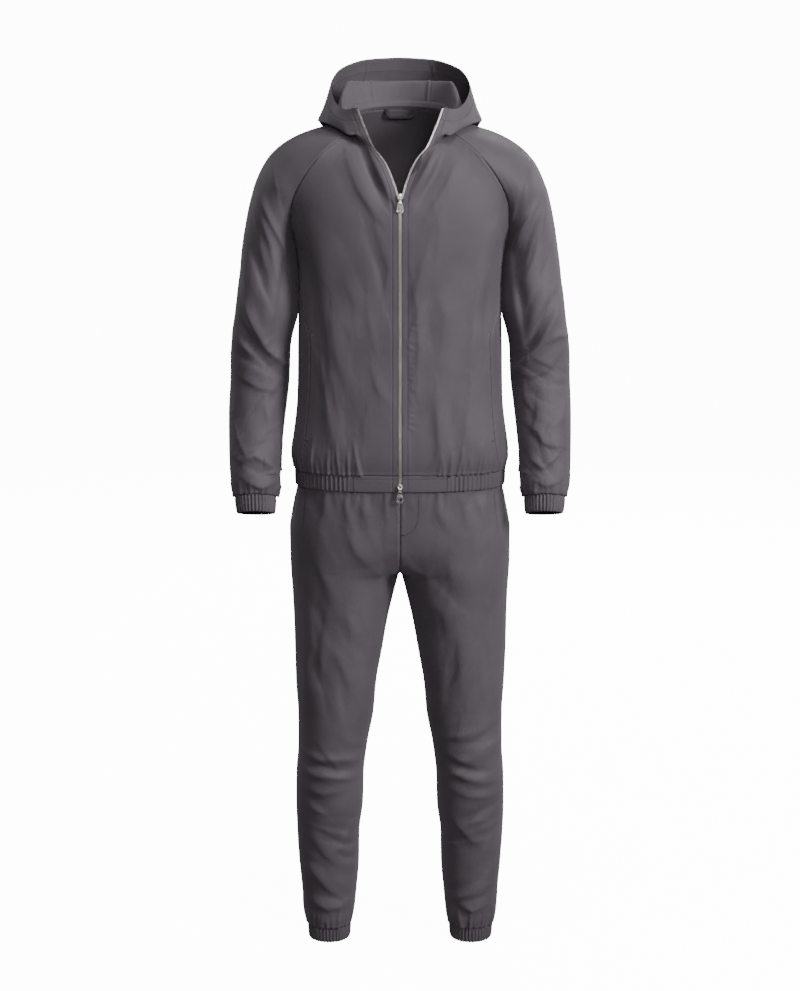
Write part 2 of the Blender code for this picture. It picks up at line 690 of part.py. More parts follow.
def edge_frames(rows):
    """Point, direction into the cloth and outward direction at rows of the zip edge."""
    frames = []
    for part, v in rows:
        surface, sign = {"front": (front, 1), "hood": (hood, 1), "hem": (hem_ring, 1)}[part]
        zero = np.array([0.0])
        v = np.array([v])
        p = surface(zero, v)[0]
        step = 0.02
        q = surface(zero + step, v)[0]
        d = q - p
        n = normals(surface, zero, v, sign)[0]
        frames.append((p, d / np.linalg.norm(d), n, surface, v, step / np.linalg.norm(d)))
    return frames


def edge_strip(name, rows, near, far, out, thick, kind, side, follow):
    """A strip beside the zip edge: near and far are distances into the cloth."""
    outer = []
    for p, d, n, surface, v, rate in edge_frames(rows):
        line = []
        away = out - 3 * GAP if surface is hood and follow else out
        for w in (near, far):
            if w > 0 and follow:
                at = surface(np.array([w * rate]), v)[0]
            else:
                at = p + d * w
            line.append(at + n * away)
        outer.append(line)
    outer = np.array(outer)
    n = np.array([[f[2], f[2]] for f in edge_frames(rows)])
    points, faces = skin(outer, outer - n * thick, False, 1)
    return solid(name, points, faces, kind, side)


def hem_ring(u, v):
    """Hem band, from the zip edge (u 0) to the centre back (u 1)."""
    u, v = np.broadcast_arrays(np.asarray(u, float), np.asarray(v, float))
    z = HEM_BOTTOM + (HEM_TOP - 0.1 - HEM_BOTTOM) * v
    row = curve(TRUNK, z)
    start = np.arctan2(ZIP_HALF, row[..., 1])
    x, y = ring(start + (math.pi - start) * u, row[..., 0], row[..., 1], row[..., 2])
    return stack(x, y, z)


def ring_wall(name, surface, count, vs, thick, kind, sign, side):
    """A closed band with gathers, two columns to each gather."""
    us = np.arange(2 * count) / (2 * count)
    u, v = np.meshgrid(us, vs)
    n = normals(surface, u, v, sign)
    wave = np.cos(np.pi * np.arange(2 * count))[None, :, None] * GATHER_DEEP
    outer = surface(u, v) + n * (wave - GATHER_DEEP)
    points, faces = skin(trim(outer, True), trim(outer - n * thick, True), True, sign)
    return solid(name, points, faces, kind, side)


def cuff(u, v):
    """Sleeve cuff, round from the inner point by the front, bottom to top."""
    u, v = np.broadcast_arrays(np.asarray(u, float), np.asarray(v, float))
    u = np.mod(u, 1.0)
    top = SLEEVE[0]
    lean = math.radians(top[5])
    row = np.zeros(u.shape + (6,))
    drop = (1 - v) * CUFF_DROP + SEAM
    row[..., 0] = top[0] - drop * math.cos(lean)
    row[..., 1] = top[1] - 1.0 * (1 - v)
    row[..., 2] = top[2] - 3.0 * (1 - v)
    row[..., 3] = top[3] - drop * math.sin(lean)
    row[..., 4] = top[4] - 3.0 * (1 - v)
    row[..., 5] = top[5]
    t = np.where(u < 0.5, 2 * u, 2 - 2 * u)
    return np.where((u < 0.5)[..., None], tube(t, row, -1), tube(t, row, 1))


def ankle(u, v):
    """Ankle cuff, round from the inside leg by the front, bottom to top."""
    u, v = np.broadcast_arrays(np.asarray(u, float), np.asarray(v, float))
    u = np.mod(u, 1.0)
    z = ANKLE - SEAM - (1 - v) * (ANKLE - ANKLE_BOTTOM)
    zero = 0 * z
    top = LEG[0]
    inner = stack(top[1] + 1.5 * (1 - v), top[3] + zero, z)
    outer = stack(top[2] - 1.5 * (1 - v), top[3] + zero, z)
    t = np.where(u < 0.5, 2 * u, 2 - 2 * u)
    ahead = stack(zero, -top[4] * 4 / 3 + zero, zero)
    behind = stack(zero, top[5] * 4 / 3 + zero, zero)
    return np.where(
        (u < 0.5)[..., None], arc(inner, ahead, outer, ahead, t), arc(inner, behind, outer, behind, t)
    )


def waist(u, v):
    """Waistband, round from the centre front, bottom to top."""
    u, v = np.broadcast_arrays(np.asarray(u, float), np.asarray(v, float))
    z = WAIST_BOTTOM + (WAIST_TOP - WAIST_BOTTOM) * v
    row = HIPS[-1]
    wide, ahead, behind = (row[k] - 3.0 * v for k in (1, 2, 3))
    x, y = ring(2 * math.pi * u, wide, ahead, behind)
    return stack(x, y, z)


def slider(z, face_y):
    """A zip slider: a plate with two lugs and the pin between them, drawn in layers across x.

    Returns the closed shape and the middle of its pin.
    """
    plate_front = face_y - 1.6
    pin_y = plate_front - 2.2
    pin_z = z - 2.5
    low = z - 6.0
    high = z + 6.0
    plate = [(face_y, low), (face_y, high), (plate_front, high - 1.0), (plate_front, low + 1.0)]
    lug = [
        (face_y, low), (face_y, high), (plate_front, high - 1.0), (plate_front, pin_z + 3.0),
        (pin_y - 1.3, pin_z + 1.2), (pin_y - 1.3, pin_z - 1.2), (plate_front, pin_z - 3.0),
        (plate_front, low + 1.0),
    ]
    points = []
    faces = []

    def layer(profile, x, scale=1.0):
        start = len(points)
        points.extend((x, y, z + (h - z) * scale) for y, h in profile)
        return list(range(start, start + len(profile)))

    def side_band(a, b):
        for i in range(len(a)):
            k = (i + 1) % len(a)
            faces.append((a[i], b[i], b[k], a[k]))

    # The corners of a lug's outline that lie on the plate
    keep = (0, 1, 2, 7)
    xs = (-4.2, -3.8, -2.6, 2.6, 3.8, 4.2)
    left_edge = layer(plate, xs[0], 0.7)
    left_out = layer(lug, xs[1])
    left_in = layer(lug, xs[2])
    right_in = layer(lug, xs[3])
    right_out = layer(lug, xs[4])
    right_edge = layer(plate, xs[5], 0.7)
    sides = 8
    pin = []
    for x in (xs[2], xs[3]):
        start = len(points)
        for k in range(sides):
            a = 2 * math.pi * k / sides
            points.append((x, pin_y + 0.75 * math.cos(a), pin_z + 0.75 * math.sin(a)))
        pin.append(list(range(start, start + sides)))
    faces.append(tuple(left_edge))
    faces.append(tuple(reversed(right_edge)))
    for edge, lug_ring, way in ((left_edge, left_out, 1), (right_edge, right_out, -1)):
        four = [lug_ring[k] for k in keep]
        for i in range(4):
            k = (i + 1) % 4
            one = (edge[i], four[i], four[k], edge[k])
            if i == 2:
                ends = [lug_ring[2], lug_ring[3], lug_ring[6], lug_ring[7]]
                one = (edge[i], *ends, edge[k])
            faces.append(one if way > 0 else tuple(reversed(one)))
        crown = tuple(lug_ring[k] for k in (3, 4, 5, 6))
        faces.append(crown if way > 0 else tuple(reversed(crown)))
    side_band(left_out, left_in)
    side_band(right_in, right_out)
    for i in (0, 1, 7):
        k = (i + 1) % 8
        faces.append((left_in[i], right_in[i], right_in[k], left_in[k]))
    floor = [left_in[2], left_in[3], left_in[6], left_in[7]]
    other = [right_in[2], right_in[3], right_in[6], right_in[7]]
    for i in range(3):
        faces.append((floor[i], other[i], other[i + 1], floor[i + 1]))
    for lug_ring, round_pin, way in ((left_in, pin[0], 1), (right_in, pin[1], -1)):
        hole = crown_with_hole(lug_ring, round_pin)
        faces.extend(hole if way > 0 else [tuple(reversed(f)) for f in hole])
    for i in range(sides):
        k = (i + 1) % sides
        one = (pin[0][i], pin[1][i], pin[1][k], pin[0][k])
        faces.append(tuple(reversed(one)))
    return points, faces, (pin_y, pin_z)


def crown_with_hole(lug_ring, round_pin):
    """Triangles of a lug's inner face round the pin, between corners 3, 4, 5 and 6."""
    a, b, c, d = (lug_ring[k] for k in (3, 4, 5, 6))
    p = round_pin
    return [
        (a, p[1], p[0]), (a, p[2], p[1]), (a, p[3], p[2]), (a, b, p[3]),
        (b, p[4], p[3]), (b, c, p[4]), (c, p[5], p[4]), (c, d, p[5]),
        (d, p[6], p[5]), (d, p[7], p[6]), (d, p[0], p[7]), (d, a, p[0]),
    ]


CLOTH_KIND = ((0.11, 0.1, 0.11), 0.0, 0.75)
BAND_KIND = ((0.1, 0.09, 0.1), 0.0, 0.8)
TAPE_KIND = ((0.07, 0.065, 0.07), 0.0, 0.7)
METAL_KIND = ((0.52, 0.5, 0.47), 1.0, 0.32)


def rows_between(*parts):
    """Joined runs of evenly spaced rows: (start, end, count) for each."""
    out = []
    for start, end, count in parts:
        run = np.linspace(start, end, count + 1)
        out.extend(run if not out else run[1:])
    return np.array(out)


def build_body():
    vs = rows_between((0.0, 0.06, 3), (0.06, SPLIT, 8), (SPLIT, 1.0, 11))
    for side, name in ((-1, "right"), (1, "left")):
        wall(
            f"front_{name}", front, np.linspace(0, 1, 9), vs, CLOTH, CLOTH_KIND, 1, side, True,
            [(-1, seam_normals(sleeve_front, 0, 1, SPLIT, SLEEVE_SPLIT))],
        )
    wall(
        "back", back, np.linspace(0, 1, 17), vs, CLOTH, CLOTH_KIND, 1, 1, False,
        [(0, seam_normals(sleeve_back, 0, -1, SPLIT, SLEEVE_SPLIT)),
         (-1, mirrored_normals(seam_normals(sleeve_back, 0, -1, SPLIT, SLEEVE_SPLIT)))],
    )


def mirrored_normals(at):
    def turned(vs):
        return at(vs) * np.array([-1.0, 1.0, 1.0])
    return turned


def build_sleeves():
    vs = rows_between(
        (0.0, 0.018, 1), (0.018, 0.32, 6), (0.32, 0.46, 5), (0.46, SLEEVE_SPLIT, 4),
        (SLEEVE_SPLIT, 1.0, 11),
    )
    us = np.linspace(0, 1, 8)
    for side, name in ((-1, "right"), (1, "left")):
        wall(
            f"sleeve_front_{name}", sleeve_front, us, vs, CLOTH, CLOTH_KIND, 1, side, True,
            [(0, seam_normals(front, 1, 1, SLEEVE_SPLIT, SPLIT)),
             (-1, edge_normals(sleeve_back, 1, -1))],
        )
        wall(
            f"sleeve_back_{name}", sleeve_back, us, vs, CLOTH, CLOTH_KIND, -1, side, True,
            [(0, seam_normals(half_back, 0, 1, SLEEVE_SPLIT, SPLIT)),
             (-1, edge_normals(sleeve_front, 1, 1))],
        )
        ring_wall(
            f"cuff_{name}", cuff, CUFF_GATHERS, np.array([0.0, 1.0]), BAND, BAND_KIND, 1, side
        )


def build_hood():
    vs = rows_between((0.0, 0.13, 2), (0.13, 0.56, 5), (0.56, 1.0, 5))
    split = HOOD_PANEL
    for side, name in ((-1, "right"), (1, "left")):
        wall(f"hood_{name}", hood, HOOD_COLUMNS, vs, CLOTH, CLOTH_KIND, 1, side)

    def middle(u, v):
        u, v = np.broadcast_arrays(np.asarray(u, float), np.asarray(v, float))
        p = hood(split + (1 - split) * (1 - np.abs(2 * u - 1)), v)
        p[..., 0] = np.where(u > 0.5, -p[..., 0], p[..., 0])
        return p

    wall("hood_centre", middle, np.linspace(0, 1, 9), vs, CLOTH, CLOTH_KIND, 1, 1)


def build_hem():
    flat = 0.185
    vs = np.array([0.0, 1.0])
    for side, name in ((-1, "right"), (1, "left")):
        wall(f"hem_front_{name}", hem_ring, np.linspace(0, flat, 5), vs, CLOTH, BAND_KIND, 1, side)

    def round_back(u, v):
        u, v = np.broadcast_arrays(np.asarray(u, float), np.asarray(v, float))
        p = hem_ring(flat + (1 - flat) * (1 - np.abs(2 * u - 1)), v)
        p[..., 0] = np.where(u > 0.5, -p[..., 0], p[..., 0])
        return p

    us = np.linspace(0, 1, 2 * HEM_GATHERS + 1)
    u, v = np.meshgrid(us, vs)
    n = normals(round_back, u, v, 1)
    wave = np.cos(np.pi * np.arange(len(us)))[None, :, None] * 0.9 - 0.9
    wave = wave * np.clip(np.minimum(us, 1 - us) * 30, 0, 1)[None, :, None]
    outer = round_back(u, v) + n * wave
    thick = CLOTH + 0.8 * np.clip(np.minimum(us, 1 - us) * 30, 0, 1)[None, :, None] + wave * 0.5
    points, faces = skin(trim(outer, False), trim(outer - n * thick, False), False, 1)
    solid("hem_back", points, faces, BAND_KIND)


def build_trousers():
    us = np.linspace(0, 1, 9)
    vs = rows_between(
        (0.0, 0.012, 1), (0.012, 0.31, 5), (0.31, 0.40, 4), (0.40, LEG_KNOT[1], 5),
        (LEG_KNOT[1], LEG_KNOT[2], 4), (LEG_KNOT[2], 0.9, 3), (0.9, 0.938, 2), (0.938, 1.0, 2),
    )
    for side, name in ((-1, "right"), (1, "left")):
        wall(f"leg_front_{name}", leg_front, us, vs, CLOTH, CLOTH_KIND, 1, side, True)
        wall(f"leg_back_{name}", leg_back, us, vs, CLOTH, CLOTH_KIND, -1, side, True)
        ring_wall(
            f"ankle_{name}", ankle, ANKLE_GATHERS, np.array([0.0, 1.0]), BAND, BAND_KIND, 1, side
        )
    us = np.arange(44) / 44
    u, v = np.meshgrid(us, np.array([0.0, 1.0]))
    outer = waist(u, v)
    inner = outer - ring_outward(us)[None] * BAND
    points, faces = skin(trim(outer, True), trim(inner, True), True, 1)
    solid("waistband", points, faces, BAND_KIND)


def ring_outward(us):
    """Outward directions round the waistband."""
    before = waist(us - 1e-3, 0 * us)
    after = waist(us + 1e-3, 0 * us)
    n = np.cross(after - before, np.array([0.0, 0.0, 1.0]))
    return n / np.linalg.norm(n, axis=-1, keepdims=True)


def build_pockets():
    vs = np.linspace(
        SPLIT * (-585.0 - HEM_TOP) / (UNDERARM - HEM_TOP),
        SPLIT * (-392.0 - HEM_TOP) / (UNDERARM - HEM_TOP), 8,
    )
    raised = shifted(front, 1, 2 * GAP + 1.2)
    for side, name in ((-1, "right"), (1, "left")):
        wall(f"welt_{name}", raised, np.array([0.905, 0.94, 0.975, 0.994]), vs, 1.2, CLOTH_KIND, 1, side)


def build_zip():
    w0 = SPLIT + (1 - SPLIT) * 0.49
    top_rows = zip_line("front", 9, w0, 1.0) + zip_line("hood", 6, 0.004, 0.99)
    all_rows = (
        zip_line("hem", 3, 0.02, 0.98) + zip_line("front", 10, 0.004, SPLIT)
        + zip_line("front", 12, SPLIT + 0.03, 0.996) + zip_line("hood", 6, 0.004, 0.985)
    )
    for side, name in ((-1, "right"), (1, "left")):
        edge_strip(
            f"zip_tape_{name}", all_rows, -2.4, TAPE_WIDE, -(CLOTH + 2 * GAP), TAPE_THICK, TAPE_KIND,
            side, True,
        )
        edge_strip(
            f"zip_teeth_{name}", top_rows, -3.0, -0.4, 0.3, CHAIN_THICK, METAL_KIND, side, False
        )
    rows = zip_line("hem", 3, 0.02, 0.98) + zip_line("front", 10, 0.004, SPLIT)
    rows = rows + zip_line("front", 7, SPLIT + 0.03, SPLIT + (1 - SPLIT) * 0.475)
    outer = []
    for p, d, n, surface, v, rate in edge_frames(rows):
        outer.append([(-CHAIN_HALF, p[1] - 0.3, p[2]), (CHAIN_HALF, p[1] - 0.3, p[2])])
    outer = np.array(outer)
    back_face = outer + np.array([0.0, CHAIN_THICK, 0.0])
    points, faces = skin(outer, back_face, False, 1)
    solid("zip_chain", points, faces, METAL_KIND)


def pull_tab(pin, drop, wide_top, wide_low, hole_z, hole_size):
    """A pull tab: an eye round the slider's pin, and a plate with rounded corners and a hole."""
    pin_y, pin_z = pin
    half = 2.1
    count = 12
    eye_out = []
    eye_in = []
    for k in range(count):
        a = 2 * math.pi * (k + 0.5) / count
        eye_out.append((pin_y + 1.75 * math.cos(a), pin_z + 1.75 * math.sin(a)))
        eye_in.append((pin_y + 1.1 * math.cos(a), pin_z + 1.1 * math.sin(a)))
    points = []
    for x in (-half, half):
        points += [(x, y, z) for y, z in eye_out]
        points += [(x, y, z) for y, z in eye_in]
    faces = []
    far = 2 * count
    # The eye is open on this side, where the plate leaves it
    down = 8
    for i in range(count):
        k = (i + 1) % count
        faces.append((i, count + i, count + k, k))
        faces.append((far + i, far + k, far + count + k, far + count + i))
        faces.append((count + i, far + count + i, far + count + k, count + k))
        if i != down:
            faces.append((i, k, far + k, far + i))
    # The four corners of that opening
    a, b, c, d = down, down + 1, far + down + 1, far + down
    top_z = pin_z - 3.2
    low_z = pin_z - drop
    y0 = pin_y - 0.6
    y1 = pin_y + 0.6
    base = len(points)
    corner = 1.6
    right_low = []
    for k in range(5):
        t = math.pi / 2 * k / 4
        x = wide_low - corner + corner * math.sin(t)
        right_low.append((x, low_z + corner - corner * math.cos(t)))
    loop = [(-half, top_z), (-wide_top, top_z - 1.2)]
    loop += [(-x, z) for x, z in reversed(right_low)]
    loop += right_low
    loop += [(wide_top, top_z - 1.2), (half, top_z)]
    n = len(loop)
    hole = []
    for x, z in loop:
        angle = math.atan2(z - hole_z, x * 1.3)
        high = hole_z + hole_size * 0.8 * math.sin(angle)
        hole.append((hole_size * math.cos(angle), high))
    for y in (y0, y1):
        points += [(x, y, z) for x, z in loop]
        points += [(x, y, z) for x, z in hole]
    f0 = base
    h0 = base + n
    f1 = base + 2 * n
    h1 = base + 3 * n
    for i in range(n):
        k = (i + 1) % n
        faces.append((f0 + i, f0 + k, h0 + k, h0 + i))
        faces.append((f1 + k, f1 + i, h1 + i, h1 + k))
        faces.append((h0 + i, h0 + k, h1 + k, h1 + i))
        if k != 0:
            faces.append((f0 + k, f0 + i, f1 + i, f1 + k))
    # From the eye's opening to the plate's top edge
    left0, right0 = f0, f0 + n - 1
    left1, right1 = f1, f1 + n - 1
    faces.append((a, left0, left1, b))
    faces.append((c, right1, right0, d))
    faces.append((d, right0, left0, a))
    faces.append((b, left1, right1, c))
    return points, faces


def oriented(points, faces):
    """The same closed shape with every face turned outwards."""
    bm = bmesh.new()
    made = [bm.verts.new(p) for p in points]
    for f in faces:
        bm.faces.new([made[i] for i in f])
    bmesh.ops.triangulate(bm, faces=bm.faces[:])
    bmesh.ops.recalc_face_normals(bm, faces=bm.faces[:])
    bm.verts.index_update()
    out_points = [tuple(p.co) for p in bm.verts]
    out_faces = [tuple(p.index for p in f.verts) for f in bm.faces]
    bm.free()
    return out_points, out_faces


def build_sliders():
    for name, z, face_y, drop, hole in (
        ("top", SLIDER_TOP_Z, SLIDER_TOP_Y, 24.0, 1.6),
        ("bottom", SLIDER_BOTTOM_Z, SLIDER_BOTTOM_Y, 25.0, 2.2),
    ):
        points, faces, pin = slider(z, face_y)
        points, faces = oriented(points, faces)
        solid(f"slider_{name}", points, faces, METAL_KIND)
        points, faces = pull_tab(pin, drop, 3.4, 4.2, pin[1] - drop + 4.6, hole)
        points, faces = oriented(points, faces)
        solid(f"pull_{name}", points, faces, METAL_KIND)


def build_neck():
    def inside(u, v):
        u, v = np.broadcast_arrays(np.asarray(u, float), np.asarray(v, float))
        s = 1 - np.abs(2 * u - 1) * 0.6
        reach = np.interp(s, (0.4, 0.55, 0.75, 1.0), (0.045, 0.032, 0.027, 0.026))
        at = 0.003 + v * reach
        p = hood(s, at) - normals(hood, s, at, 1) * (CLOTH + 4 * GAP)
        p[..., 0] = np.where(u > 0.5, -p[..., 0], p[..., 0])
        return p

    half_columns = 0.5 - (1 - HOOD_COLUMNS[6:]) / 1.2
    centre_columns = 0.5 - (1 - np.array([0.89125, 0.9275, 0.96375])) / 1.2
    us = np.concatenate([half_columns, centre_columns])
    us = np.concatenate([us, [0.5], 1 - us[::-1]])
    wall("neck_tape", inside, us, np.array([0.0, 1.0]), 0.8, TAPE_KIND, 1, 1)
    centre = 1.5
    half = 25.0
    top = -9.6
    low = -25.0
    path = [(centre - half, top), (centre - half, top - 7), (centre - half + 1.5, low + 3.5)]
    path += [(centre - half + 5.5, low)]
    path += [(centre - 8, low), (centre + 8, low)]
    path += [(centre + half - 5.5, low), (centre + half - 1.5, low + 3.5)]
    path += [(centre + half, top - 7), (centre + half, top)]
    path = np.array(path)
    side_step = np.gradient(path, axis=0)
    side_step /= np.linalg.norm(side_step, axis=1, keepdims=True)
    across = np.stack([-side_step[:, 1], side_step[:, 0]], axis=1)
    rows = []
    for w in (-3.0, 3.0):
        q = path + across * w
        y = 80.4 - 0.0045 * q[:, 0] ** 2 + (top - q[:, 1]) * 0.1
        rows.append(np.stack([q[:, 0], y, q[:, 1]], axis=1))
    grid = np.array(rows)
    points, faces = skin(grid, grid + np.array([0.0, 1.2, 0.0]), False, 1)
    solid("hanger_loop", *oriented(points, faces), TAPE_KIND)


for old in list(bpy.data.objects):
    bpy.data.objects.remove(old, do_unlink=True)

build_body()
build_sleeves()
build_hood()
build_hem()
build_trousers()
build_pockets()
build_zip()
build_sliders()
build_neck()
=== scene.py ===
"""The looks of the hooded tracksuit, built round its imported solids.

Each cloth piece is a fine shell on the form of its solid, with the creases, gathers,
seam grooves and stitches that the solids leave out. Lengths in the tables are in
millimetres. The front faces -Y, +Z is up and the wearer's left is at +X.
"""

import math

import bmesh
import bpy
import numpy as np

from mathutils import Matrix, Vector


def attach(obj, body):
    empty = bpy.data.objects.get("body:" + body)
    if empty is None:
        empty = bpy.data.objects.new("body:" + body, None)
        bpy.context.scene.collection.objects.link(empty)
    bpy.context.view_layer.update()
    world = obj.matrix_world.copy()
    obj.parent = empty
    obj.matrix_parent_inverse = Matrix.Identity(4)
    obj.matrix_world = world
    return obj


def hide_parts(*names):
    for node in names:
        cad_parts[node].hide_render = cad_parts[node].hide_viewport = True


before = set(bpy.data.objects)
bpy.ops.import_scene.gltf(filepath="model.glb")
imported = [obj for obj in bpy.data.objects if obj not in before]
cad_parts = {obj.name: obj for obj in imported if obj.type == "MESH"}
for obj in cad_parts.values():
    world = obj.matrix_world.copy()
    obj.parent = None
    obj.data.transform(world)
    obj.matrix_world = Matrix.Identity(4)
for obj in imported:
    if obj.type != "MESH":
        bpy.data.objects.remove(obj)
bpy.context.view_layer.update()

MM = 0.001

# Gaps left at a seam, and between cloth laid on cloth
SEAM = 0.16
GAP = 0.3

# Heights of the jacket and trousers
HEM_BOTTOM = -671.0
HEM_TOP = -642.0
UNDERARM = -262.0
CUFF_DROP = 30.0
WAIST_TOP = -545.0
WAIST_BOTTOM = -585.0
HIP = -751.0
CROTCH = -834.0
ANKLE = -1504.0
ANKLE_BOTTOM = -1532.5

# The zip: half the width between the cloth edges, its tapes, and the places of its sliders
ZIP_HALF = 3.9
TAPE_WIDE = 11.0
TAPE_THICK = 0.8
SLIDER_TOP_Z = -156.0
SLIDER_TOP_Y = -131.9
SLIDER_BOTTOM_Z = -662.0
SLIDER_BOTTOM_Y = -125.95

# Where the panels divide between low rings and upper rows
SPLIT = 0.6
SLEEVE_SPLIT = 0.68
LEG_KNOT = (0.0, 0.74, 0.82, 1.0)

# How square the body sections are, and how near the side seam its forward lean begins
SQUARE = 2.8
SEAM_BEND = 2.2

# Body rings: height, half width, front depth, back depth, side seam angle from the front
TRUNK = np.array([
    [-671, 188.4, 125, 112, 66],
    [-642, 189.2, 125.5, 112.5, 66],
    [-630, 194, 128.5, 116, 65.8],
    [-612, 194.6, 130.5, 118.5, 64.2],
    [-588, 192.4, 130.5, 118.5, 63.2],
    [-558, 187.4, 129, 116, 63.2],
    [-520, 183.4, 127.5, 113, 62.8],
    [-440, 182.5, 127, 112, 61.8],
    [-412, 182.2, 127, 112.5, 61.5],
    [-360, 181.2, 127.5, 114.5, 70],
    [-322, 180.3, 128.5, 116.5, 78],
    [-290, 180.6, 129.8, 117.5, 84.5],
    [-262, 182, 131, 118.5, 90],
])

# Zip edge of the front above the underarm, and its handle along the row
ZIP_EDGE = np.array([
    [3.9, -131, -262, 62, 0, 0],
    [3.9, -132.5, -236, 62, 0, 0],
    [3.9, -133.5, -210, 69, -2, 0],
    [3.9, -133, -186, 82, -2, 0],
    [4.2, -131.5, -166, 82, -2, 2],
    [8, -128.5, -147, 71, -2, 4],
    [15.5, -123.5, -124, 56, -2, 7],
    [24.5, -118, -103, 42, 0, 6],
    [35.5, -112.8, -86, 26, 4, 4],
    [47.5, -107, -73, 15, 6, 2],
])

# Front raglan seam: point, handle into the body, handle into the sleeve
RAGLAN_FRONT = np.array([
    [182, 0, -262, 0, -134, 0, 0, -95, 0],
    [188, -28, -233, -3, -98, -1, 2, -66, 0],
    [191.5, -53, -201, -12, -64, -4, 12, -40, 2],
    [188, -73, -170, -28, -39, -8, 24, -24, 6],
    [176.5, -87, -141, -42, -23, -12, 32, -12, 10],
    [160, -94.5, -114, -45, -15, -14, 38, 0, 14],
    [140, -97.5, -88, -40, -10, -16, 36, 14, 16],
    [118, -88, -67, -32, -12, -12, 28, 20, 12],
    [99, -72, -54, -22, -16, -10, 16, 20, 8],
    [84, -54, -45, -6, -15, -8, 3, 12, 5],
])

# Back raglan seam: point, handle into the back, handle into the sleeve
RAGLAN_BACK = np.array([
    [182, 0, -262, 0, 130, 0, 0, 95, 0],
    [188, 30, -233, -3, 91, -1, 2, 64, 0],
    [190, 58, -200, -14, 57, -4, 12, 38, 2],
    [182, 81, -166, -30, 29, -6, 24, 22, 8],
    [168, 96, -134, -42, 14, -8, 32, 10, 14],
    [150, 102, -104, -46, 8, -8, 38, -2, 18],
    [129, 98.5, -77, -40, 8, -4, 34, -14, 16],
    [108, 86, -52, -32, 12, 0, 26, -22, 10],
    [91, 63, -33, -24, 16, 3, 14, -18, 4],
    [77, 36, -17, -12, 26, 4, 3, -14, -4],
])

# Top line of the shoulder and arm: point, front handle, back handle
OVERARM = np.array([
    [281, 0, -262, 0, -95, 0, 0, 95, 0],
    [279, 0, -238, 0, -88, 0, 0, 88, 0],
    [274.5, 0, -210, 0, -80, -2, 0, 82, 0],
    [267.5, 0, -172, 0, -70, -6, 0, 74, 0],
    [257.5, 0, -138, 0, -60, -10, 0, 66, -2],
    [242.5, 0, -97, -2, -50, -14, -2, 56, -4],
    [213, 0, -68, -4, -42, -16, -3, 46, -5],
    [172, -2, -46.5, -4, -34, -12, -3, 38, -3],
    [131, -8, -35, -2, -24, -8, -1, 26, 2],
    [88.5, -14, -30.5, 0, -14, -5, 0, 16, 4.5],
])

# Centre back above the underarm, and its handle along the row
CENTRE_BACK = np.array([
    [0, 118.5, -262, 45, 0, 0],
    [0, 119.5, -230, 44, 0, 0],
    [0, 120, -198, 52, 0, 0],
    [0, 119, -165, 74, 0, 0],
    [0, 117, -133, 82, 0, 0],
    [0, 113, -103, 76, 0, 0],
    [0, 107.5, -74, 64, 0, 0],
    [0, 101, -49, 50, 0, 0],
    [0, 93, -27, 40, 0, 0],
    [0, 85.5, -8.5, 34, 0, 0],
])

# Sleeve rings: height, middle x, half width, middle y, half depth, lean in degrees
SLEEVE = np.array([
    [-688, 257, 37.5, -66, 42, 15.5],
    [-677, 257.2, 43.6, -63, 49, 14],
    [-634, 258, 46, -50, 53, 12],
    [-583, 257, 48.4, -34, 57, 10],
    [-531, 254.2, 51, -18, 61, 8],
    [-479, 250, 52.8, -6, 63, 4],
    [-426, 248.5, 53.6, -6, 66, 0],
    [-399, 243.6, 54, -10, 68, 0],
    [-371, 238.2, 56, -14, 70, 0],
    [-318, 234.8, 53.6, -12, 71.5, 0],
    [-290, 232.8, 51.2, -5, 71.5, 0],
    [-262, 231.5, 49.5, 0, 71.3, 0],
])

# Hood stations from the zip edge to the centre back: place, then crest, inner wall,
# lowest point, belly and rim
HOOD = np.array([
    [0.00, 54.5, -102, -59, 60.5, -97, -45.5, 66.5, -91.5, -31.5, 71.5, -86, -18.5, 77, -80, -5],
    [0.15, 72, -93, -54, 79, -92, -50, 87, -88, -51, 93, -79, -34, 93, -62, -8.5],
    [0.30, 86, -63, -35, 95, -64, -34, 107, -64, -41, 112, -56, -24, 104, -40, -5],
    [0.42, 97, -30, -14, 107, -33, -24, 128, -36, -33, 127, -26, -14, 118, -4, 11],
    [0.55, 101, 14, 8, 114, 12, -16, 144, 6, -30, 136, 20, -6, 124, 40, 31],
    [0.70, 90, 52, 37.5, 104, 64, -22, 126, 98, -62, 131, 106, -14, 112, 98, 57],
    [0.85, 54, 82, 38.2, 60, 116, -44, 72, 156, -126, 84, 178, -52, 59, 153, 78],
    [1.00, 0, 94, 37.5, 0, 124, -55, 0, 164, -143, 0, 194, -56, 0, 165, 82],
])
HOOD_STEPS = np.array([0.0, 0.13, 0.33, 0.56, 0.78, 1.0])
HOOD_PANEL = 0.855

# Trouser hips: height, half width, front depth, back depth
HIPS = np.array([
    [-751, 199, 118.5, 112],
    [-721, 194, 119.5, 111],
    [-695, 188.4, 120.4, 110],
    [-677, 183.8, 120.8, 107.8],
    [-671, 183.5, 120.8, 107.6],
    [-642, 183.3, 120.6, 107.4],
    [-620, 176, 114, 105],
    [-585.3, 160, 103, 98],
])

